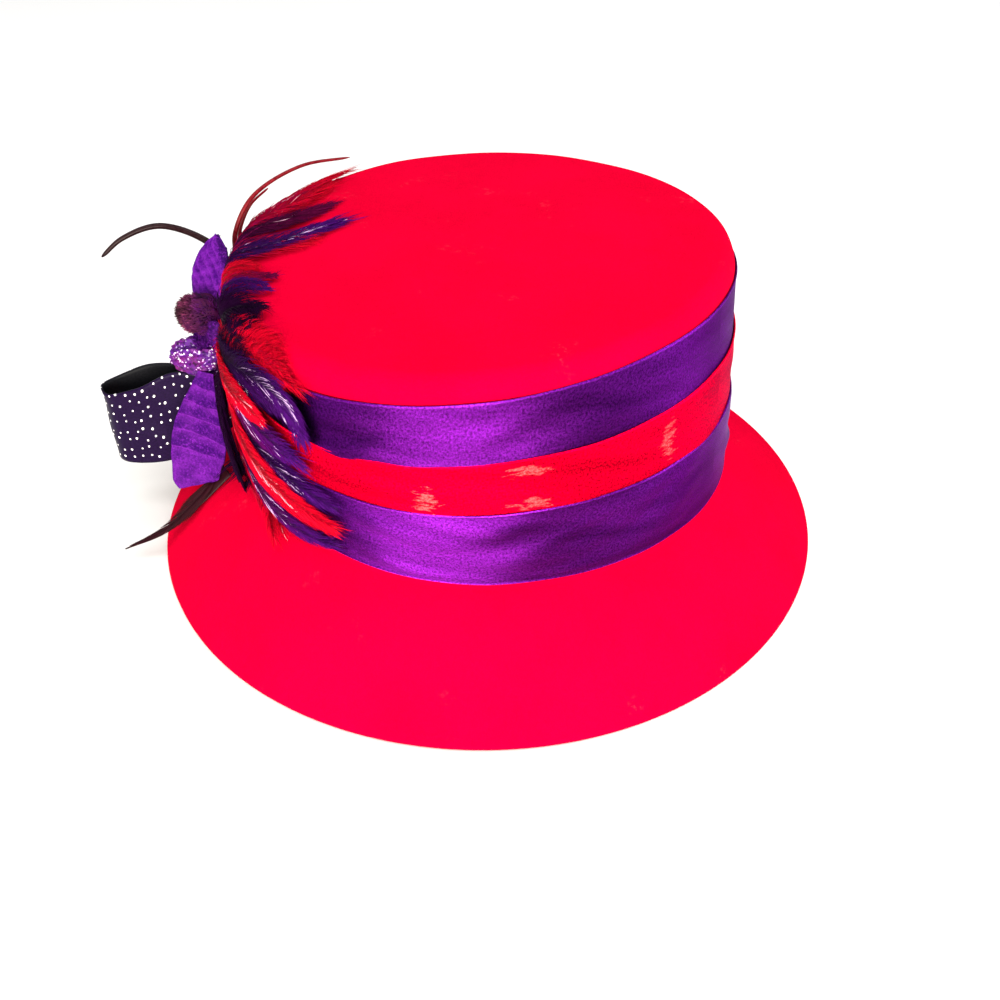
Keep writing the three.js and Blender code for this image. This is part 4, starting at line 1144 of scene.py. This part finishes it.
class HAT_OT_petals(bpy.types.Operator):
    """Make the flower's cloth petals"""

    bl_idname = "hat.petals"
    bl_label = "Petals"

    def execute(self, context):
        flower = context.scene.hat.flower
        material = petal_material(flower)
        for number, row in enumerate(PETALS):
            self.petal(flower, {**PLAIN_PETAL, **row}, material, number)
        return {"FINISHED"}

    def petal(self, flower, row, material, number):
        """One petal, tucked into creases that run across it, with painted highlight and shade along them."""
        root, tip, wide = (trim_point(row[key]) for key in ("root", "tip", "wide"))
        run = unit(tip - root)
        side = unit(wide - run * (wide @ run))
        face = np.cross(run, side)
        u = np.linspace(0, 1, 120)[None]
        v = np.linspace(-1, 1, 41)[:, None]
        end = np.clip((u - 0.93) / 0.07, 0, 1)
        width = row["width"] * MM * leaf_width(row["outline"], u) * (1 - 0.3 * end ** 2)
        edges, place, fine = (np.stack(np.broadcast_arrays(*pair), axis=-1)
                              for pair in ((u * 3, np.sign(v)), (u, v * 0.3), (u, v * 0.12)))
        lobes = 1 + 0.03 * soft_noise(edges, 0.6, 30 + number)
        bend = 0.02 * soft_noise(place, 0.6, 40 + number)
        phase = np.mod(row["creases"] * (u + bend + row["slant"] * v) / row["creased"], 1)
        step = 0.86
        tuck = np.where(phase > step, (phase - step) / (1 - step), np.maximum(1 - phase / step, 0) ** 1.4)
        creased = np.clip((row["creased"] + 0.06 - u) / 0.08, 0, 1)
        crinkle = soft_noise(fine, 0.1, 50 + number, 24)
        apart = v + row["hook"] * (1 - u)
        bent = np.maximum(-apart, 0) if row["hook"] else np.sqrt(apart ** 2 + 0.004)
        swell = np.sin(np.pi * np.clip(u * 0.94 + 0.03, 0, 1))
        out = (row["bow"] * np.sin(np.pi * u) + row["cup"] * swell * v ** 2 - row["fold"] * bent * swell
               + row["depth"] * tuck * creased * (1 - 0.5 * v ** 2) + 0.14 * crinkle) * MM
        hang = row["lop"] * row["width"] * MM * u ** 4 * v
        grid = (root + (tip - root) * u[..., None] + side * (v * width / 2 * lobes)[..., None]
                + face * out[..., None] + run * hang[..., None])
        verts, quads = closed_sheet(grid, flower.petal)[:2]
        # Painted highlight and shade along the creases: a bright line where each crease faces up, darker down
        # the band
        line = bell(phase, 0.95, 0.05)
        light = np.clip(1 - phase / 0.5, 0, 1) ** 0.7
        highlighted = np.clip(row["depth"] / 0.5, 0.3, 1)
        painted_light = mix(0.5, highlighted * (1.25 * line + 0.75 * light) + 0.55 * (1 - highlighted), creased) + 0.22 * crinkle
        # Painted shade: the face that turns away past the ridge is darker
        turned = np.clip(3 * bent, 0, 1) * (row["hook"] > 0)
        painted_light = np.clip(painted_light - 0.7 * turned, 0, 1.3) + 0 * v
        colour = mix(np.array(flower.violet), np.array(flower.lavender), painted_light[..., None])
        root_share = np.clip(1 - u / 0.42, 0, 1) ** 0.6 * (row["hook"] > 0) + 0 * v
        colour = mix(colour, np.array(flower.blush), 0.8 * root_share[..., None])
        colour = (colour * (1 - 0.45 * turned[..., None])).reshape(-1, 3)
        node = row["name"] if row["name"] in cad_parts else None
        colour = colour if node else colour * 0.4
        piece = add_mesh(f"cloth_{row['name']}", verts, [quads], material, node,
                         tint=np.concatenate([colour, colour * 0.8]))


class HAT_OT_centre(bpy.types.Operator):
    """Make the flower's fuzzy centre"""

    bl_idname = "hat.centre"
    bl_label = "Flower centre"

    def execute(self, context):
        flower = context.scene.hat.flower
        rng = np.random.default_rng(23)
        half = np.array(CENTRE["half"])
        parts = [self.head(flower, half), self.pile(flower, half, rng)]
        verts, faces, tint = joined(parts)
        add_mesh("fuzzy_centre", verts, faces, tinted_material("mauve_fuzz", 0.7, 1400.0, 0.1),
                 "flower_centre", tint=tint)
        return {"FINISHED"}

    def head(self, flower, half):
        """The uneven ball that the hairs grow on."""
        rows, columns = 24, 36
        tilt = np.linspace(0.04, np.pi - 0.04, rows)[:, None]
        turn = full_turn(columns)[None]
        ball = np.stack(np.broadcast_arrays(np.sin(tilt) * np.cos(turn), np.sin(tilt) * np.sin(turn),
                                            np.cos(tilt)), axis=-1)
        ball = ball * (1 + 0.1 * soft_noise(ball, 0.7, 61))[..., None]
        places = np.concatenate([ball.reshape(-1, 3), [[0, 0, 1], [0, 0, -1]]])
        verts = trim_point(np.array(CENTRE["at"]) + places * half)
        faces = [ring_quads(rows, columns), end_fans(rows, columns)]
        return verts, faces, np.tile(flower.mauve_root, (len(verts), 1))

    def pile(self, flower, half, rng):
        """Short hairs that lie over towards the outside, with a painted shadow colour at the outer rim and
        purple at the hat's side.
        """
        count, stations = flower.hairs, 4
        number = np.arange(count)
        lift = 1 - 2 * (number + 0.5) / count
        turn = number * np.pi * (3 - math.sqrt(5))
        ring = np.sqrt(1 - lift ** 2)
        way = np.stack([ring * np.cos(turn), ring * np.sin(turn), lift], axis=1)
        way = unit(way + rng.normal(0, 0.1, way.shape))
        combed = np.array([1.0, 0.0, -0.05])
        inward = np.minimum(way @ combed, 0)
        lean = unit(0.5 * unit(way / half) + combed - way * inward[:, None] + rng.normal(0, 0.22, way.shape))
        length = flower.hair_length / MM * rng.uniform(0.6, 1.15, count)
        t = np.linspace(0, 1, stations)
        path = ((np.array(CENTRE["at"]) + way * half * 0.95)[:, None]
                + lean[:, None] * (length[:, None] * t)[..., None]
                + way[:, None] * (length[:, None] * 0.5 * t * (1 - t))[..., None])
        path = trim_point(path)
        run = unit(np.gradient(path, axis=1))
        side = unit(np.cross(run, UP + 0.01))
        widths = 0.24 * MM * (1 - 0.7 * t)[None] * rng.uniform(0.7, 1.2, count)[:, None]
        verts, quads, tris, station = strands(path, side, np.cross(run, side), widths, 0.18 * MM)
        # Painted shadow: tips towards the outer rim turn a dark greenish brown
        rim = np.clip((way[:, :1] - 0.6) / 0.35, 0, 0.8)
        inner = np.clip((0.35 - way[:, :1]) / 0.6, 0, 1.0)
        tips = mix(np.array(flower.mauve), np.array(flower.rim_shadow_olive), rim)
        tips = mix(tips, np.array(flower.purple), inner)
        clump = 1 + 0.5 * soft_noise(way, 0.5, 63)
        shade = (rng.uniform(0.5, 1.4, count) * np.clip(clump, 0.35, 1.6))[:, None, None]
        colour = mix(np.array(flower.mauve_root), tips[:, None], t[None, :, None] ** 1.2) * shade
        return verts, [quads, tris], np.clip(colour[:, station].reshape(-1, 3), 0, 1)


class HAT_OT_bunch(bpy.types.Operator):
    """Make the gathered bunch of glitter mesh"""

    bl_idname = "hat.bunch"
    bl_label = "Glitter bunch"

    def execute(self, context):
        flower = context.scene.hat.flower
        rng = np.random.default_rng(37)
        rows, columns = 48, 140
        tilt = np.linspace(0.03, np.pi - 0.03, rows)[:, None]
        turn = full_turn(columns)[None]
        verts = self.skin(tilt, turn).reshape(-1, 3)
        ring = np.arange(columns)[None]
        faces = [ring_quads(rows, columns)[:, ::-1], ring, (rows - 1) * columns + ring[:, ::-1]]
        add_mesh("glitter_net", verts, faces, glitter_material(flower), "glitter_bunch")
        self.flakes(flower, rng)
        return {"FINISHED"}

    def skin(self, tilt, turn):
        """Points of the gathered ball: its folds run in to the front and back."""
        tilt, turn = np.broadcast_arrays(tilt, turn)
        fold = 1 + 0.16 * np.cos(BUNCH["folds"] * turn) + 0.05 * np.cos(3 * BUNCH["folds"] * turn + 2 * tilt)
        ball = np.stack([np.cos(tilt), np.sin(tilt) * np.sin(turn) * fold,
                         np.sin(tilt) * np.cos(turn) * fold], axis=-1)
        ball = ball * (1 + 0.05 * soft_noise(ball, 0.35, 67))[..., None]
        return trim_point(np.array(BUNCH["at"]) + ball * np.array(BUNCH["half"]))

    def flakes(self, flower, rng):
        """Thin six-sided flakes that lie on the mesh, each a little askew."""
        count, corners = flower.flakes, 6
        tilt = np.arccos(rng.uniform(-1, 1, count))
        turn = rng.uniform(0, 2 * np.pi, count)
        near = 0.02
        middle = self.skin(tilt, turn)
        first = unit(self.skin(tilt + near, turn) - middle)
        second = unit(self.skin(tilt, turn + near) - middle)
        normal = unit(np.cross(first, second))
        outward = middle - trim_point(np.array(BUNCH["at"]))
        normal = normal * np.sign((normal * outward).sum(1, keepdims=True))
        normal = unit(normal + rng.normal(0, 0.35, normal.shape))
        first = unit(np.cross(normal, second))
        second = np.cross(normal, first)
        size = flower.flake_size * rng.uniform(0.5, 1.5, count)
        around = spokes(first, second, corners)
        rim = middle[:, None] + normal[:, None] * 0.12 * MM + around * size[:, None, None]
        verts = np.concatenate([rim, rim - normal[:, None] * 0.05 * MM], axis=1).reshape(-1, 3)
        k = np.arange(corners)
        base = (np.arange(count) * 2 * corners)[:, None, None]
        sides = (ring_quads(2, corners)[None] + base).reshape(-1, 4)
        caps = (np.stack([k, k[::-1] + corners])[None] + base).reshape(-1, corners)
        add_mesh("glitter_flakes", verts, [sides, caps], flake_material(), None)


class HAT_OT_dotted_ribbon(bpy.types.Operator):
    """Make the loop of dotted ribbon"""

    bl_idname = "hat.dotted_ribbon"
    bl_label = "Dotted ribbon"

    def execute(self, context):
        loop = context.scene.hat.loop
        table = np.array(LOOP, float)
        columns, rows = 150, 24
        foot = spline(trim_point(table[:, [0, 1, 2]]), columns, closed=True)
        head = spline(trim_point(table[:, [0, 1, 3]]), columns, closed=True)
        v = np.linspace(1, 0, rows)[:, None]
        grid = mix(foot[None], head[None], v[..., None])
        place = np.stack([grid @ OUT, grid @ ALONG, grid @ UP], axis=-1)
        steps = np.linalg.norm(np.diff(np.concatenate([foot, foot[:1]]), axis=0), axis=1)
        run = np.concatenate([[0], np.cumsum(steps)])
        along = np.roll(foot, -1, axis=0) - np.roll(foot, 1, axis=0)
        outward = unit(np.cross(UP, along))
        stand = 0.5 * loop.thickness + 0.3 * MM * soft_noise(place, 16 * MM, 83)
        grid = grid + outward[None] * stand[..., None]
        verts, quads, face_rows, face_columns = closed_sheet(grid, loop.thickness, wrap=True)
        width = float(np.mean(np.linalg.norm(head - foot, axis=1)))
        uv = np.stack([run[face_columns], face_rows / (rows - 1) * width], axis=-1)
        size = rows * columns
        tint = np.concatenate([np.tile(loop.ground, (size, 1)), np.tile(loop.inside, (size, 1))])
        piece = add_mesh("dotted_loop", verts, [quads], dotted_material(loop), "dotted_ribbon",
                         uv, tint)
        return {"FINISHED"}


class HAT_OT_quills(bpy.types.Operator):
    """Make the bare quills"""

    bl_idname = "hat.quills"
    bl_label = "Quills"

    def execute(self, context):
        quill = context.scene.hat.quill
        finishes = {"dark_quill": quill_material("dark_quill", quill.dark),
                    "red_quill": quill_material("red_quill", quill.red)}
        for row in QUILLS:
            path = spline(trim_point(row["path"]), 64)
            share = np.linspace(0, 1, len(path))
            end = np.clip((share - 0.93) / 0.07, 0, 1)
            radii = mix(row["root"], row["tip"], share) / 2 * MM * np.sqrt(np.maximum(1 - end ** 2, 0.02))
            verts, faces = tube(path, radii, 12)
            slot = "dark_quill" if row["name"] == "dark_quill" else "red_quill"
            add_mesh(f"bare_{row['name']}", verts, faces, finishes[slot], row["name"])
        return {"FINISHED"}


class HAT_OT_spike(bpy.types.Operator):
    """Make the pointed feather over the brim"""

    bl_idname = "hat.spike"
    bl_label = "Spike feather"

    def execute(self, context):
        colour = np.array(context.scene.hat.quill.spike)
        rng = np.random.default_rng(97)
        u = np.linspace(0, 1, 61)
        points = spline(trim_point(SPIKE["path"]), len(u))
        run = unit(np.gradient(points, axis=0))
        side = unit(np.cross(UP, run))
        face = np.cross(run, side)
        half = SPIKE["width"] / 2 * MM * (1 - 0.96 * u ** 0.7)
        across = np.linspace(-1, 1, 9)[:, None]
        grid = points[None] + side[None] * (across * half[None] * 0.92)[..., None]
        grid = grid - face[None] * (0.12 * half[None] * across ** 2)[..., None]
        verts, quads = closed_sheet(grid, 0.35 * MM)[:2]
        parts = [(verts, [quads], np.tile(colour * 0.8, (len(verts), 1)))]
        count, stations = 200, 4
        start = np.sort(rng.uniform(0.05, 0.93, count))
        hand = by_turns(count)
        t = np.linspace(0, 1, stations)
        reach = np.interp(start, u, half) * rng.uniform(0.96, 1.08, count)
        place = start[:, None] + reach[:, None] * 3.4 * t / SPIKE["length"]
        middle, sides, faces = read_along(place, u, (points, side, face))
        path = middle + sides * (hand[:, None] * reach[:, None] * t ** 0.7)[..., None] + faces * (0.12 * MM)
        heading = unit(np.gradient(path, axis=1))
        flat = unit(np.cross(faces, heading))
        widths = 0.4 * MM * (1 - 0.7 * t)[None] * np.ones((count, 1))
        verts, quads, tris, station = strands(path, flat, np.cross(heading, flat), widths, 0.15 * MM)
        shade = colour * rng.uniform(0.6, 1.6, count)[:, None]
        parts.append((verts, [quads, tris], np.repeat(shade, len(station), axis=0)))
        verts, faces, tint = joined(parts)
        add_mesh("dark_spike", verts, faces, tinted_material("dark_feather", 0.5, 900.0, 0.12),
                 "spike_feather", tint=tint)
        return {"FINISHED"}


class HAT_OT_stage(bpy.types.Operator):
    """Make the floor, the lights and the camera"""

    bl_idname = "hat.stage"
    bl_label = "Floor, lights and camera"

    def execute(self, context):
        stage = context.scene.hat.stage
        scene = context.scene
        half = stage.floor_size / 2
        mesh = bpy.data.meshes.new("floor")
        corners = [(-half, -half, 0), (half, -half, 0), (half, half, 0), (-half, half, 0)]
        mesh.from_pydata(corners, [], [(0, 1, 2, 3)])
        mesh.materials.append(floor_material(stage))
        floor = bpy.data.objects.new("floor", mesh)
        floor.location.z = -FLOOR_DROP
        scene.collection.objects.link(floor)
        for name, (place, size, colour) in LAMPS.items():
            self.lamp(scene, f"{name}_light", place, size, getattr(stage, name), colour)
        sun = bpy.data.lights.new("soft_sun", "SUN")
        sun.energy = stage.sun
        sun.angle = math.radians(SUN_SPREAD)
        lamp = bpy.data.objects.new("soft_sun", sun)
        lamp.rotation_euler = (*(math.radians(value) for value in SUN_TILT), 0)
        scene.collection.objects.link(lamp)
        world = bpy.data.worlds.new("pale_sky")
        world.use_nodes = True
        background = world.node_tree.nodes["Background"]
        background.inputs["Color"].default_value = SKY
        background.inputs["Strength"].default_value = stage.sky
        scene.world = world
        scene.view_settings.view_transform = "Standard"
        self.camera(scene)
        return {"FINISHED"}

    def lamp(self, scene, name, place, size, power, colour):
        """One soft lamp."""
        data = bpy.data.lights.new(name, "AREA")
        data.shape = "RECTANGLE"
        data.size, data.size_y = size
        data.color = colour
        data.energy = power
        lamp = bpy.data.objects.new(name, data)
        lamp.location = place
        lamp.rotation_euler = (LIT_PLACE - Vector(place)).to_track_quat("-Z", "Y").to_euler()
        scene.collection.objects.link(lamp)

    def camera(self, scene):
        """The photograph's camera."""
        data = bpy.data.cameras.new("camera")
        data.sensor_width = SENSOR
        data.lens = FOCAL_PIXELS / FRAME_PIXELS * SENSOR
        data.clip_start = 0.01
        camera = bpy.data.objects.new("camera", data)
        heading, tilt, roll = (math.radians(value) for value in (HEADING, TILT, ROLL))
        turn = Matrix.Rotation(heading, 4, "Z") @ Matrix.Rotation(math.pi / 2 - tilt, 4, "X")
        camera.matrix_world = Matrix.Translation(EYE) @ turn @ Matrix.Rotation(-roll, 4, "Z")
        scene.collection.objects.link(camera)
        scene.camera = camera


class HAT_PT_panel(bpy.types.Panel):
    """Lists the hat's pieces"""

    bl_label = "Cloche hat"
    bl_idname = "HAT_PT_panel"
    bl_space_type = "VIEW_3D"
    bl_region_type = "UI"
    bl_category = "Hat"

    def draw(self, context):
        for operator in OPERATORS:
            self.layout.operator(operator.bl_idname)


SETTINGS = (FeltSettings, RibbonSettings, PlumeSettings, FlowerSettings, LoopSettings, QuillSettings,
            StageSettings, HatSettings)
OPERATORS = (HAT_OT_felt, HAT_OT_ribbons, HAT_OT_plume, HAT_OT_petals, HAT_OT_centre, HAT_OT_bunch,
             HAT_OT_dotted_ribbon, HAT_OT_quills, HAT_OT_spike, HAT_OT_stage)


def register():
    """Adds the settings, the operators and the panel."""
    for kind in (*SETTINGS, *OPERATORS, HAT_PT_panel):
        bpy.utils.register_class(kind)
    bpy.types.Scene.hat = PointerProperty(type=HatSettings)


def unregister():
    """Takes them away again."""
    del bpy.types.Scene.hat
    for kind in reversed((*SETTINGS, *OPERATORS, HAT_PT_panel)):
        bpy.utils.unregister_class(kind)


def main():
    """Makes the hat and its stage."""
    register()
    bpy.ops.hat.felt()
    bpy.ops.hat.ribbons()
    bpy.ops.hat.plume()
    bpy.ops.hat.petals()
    bpy.ops.hat.centre()
    bpy.ops.hat.bunch()
    bpy.ops.hat.dotted_ribbon()
    bpy.ops.hat.quills()
    bpy.ops.hat.spike()
    bpy.ops.hat.stage()


if __name__ == "__main__":
    main()
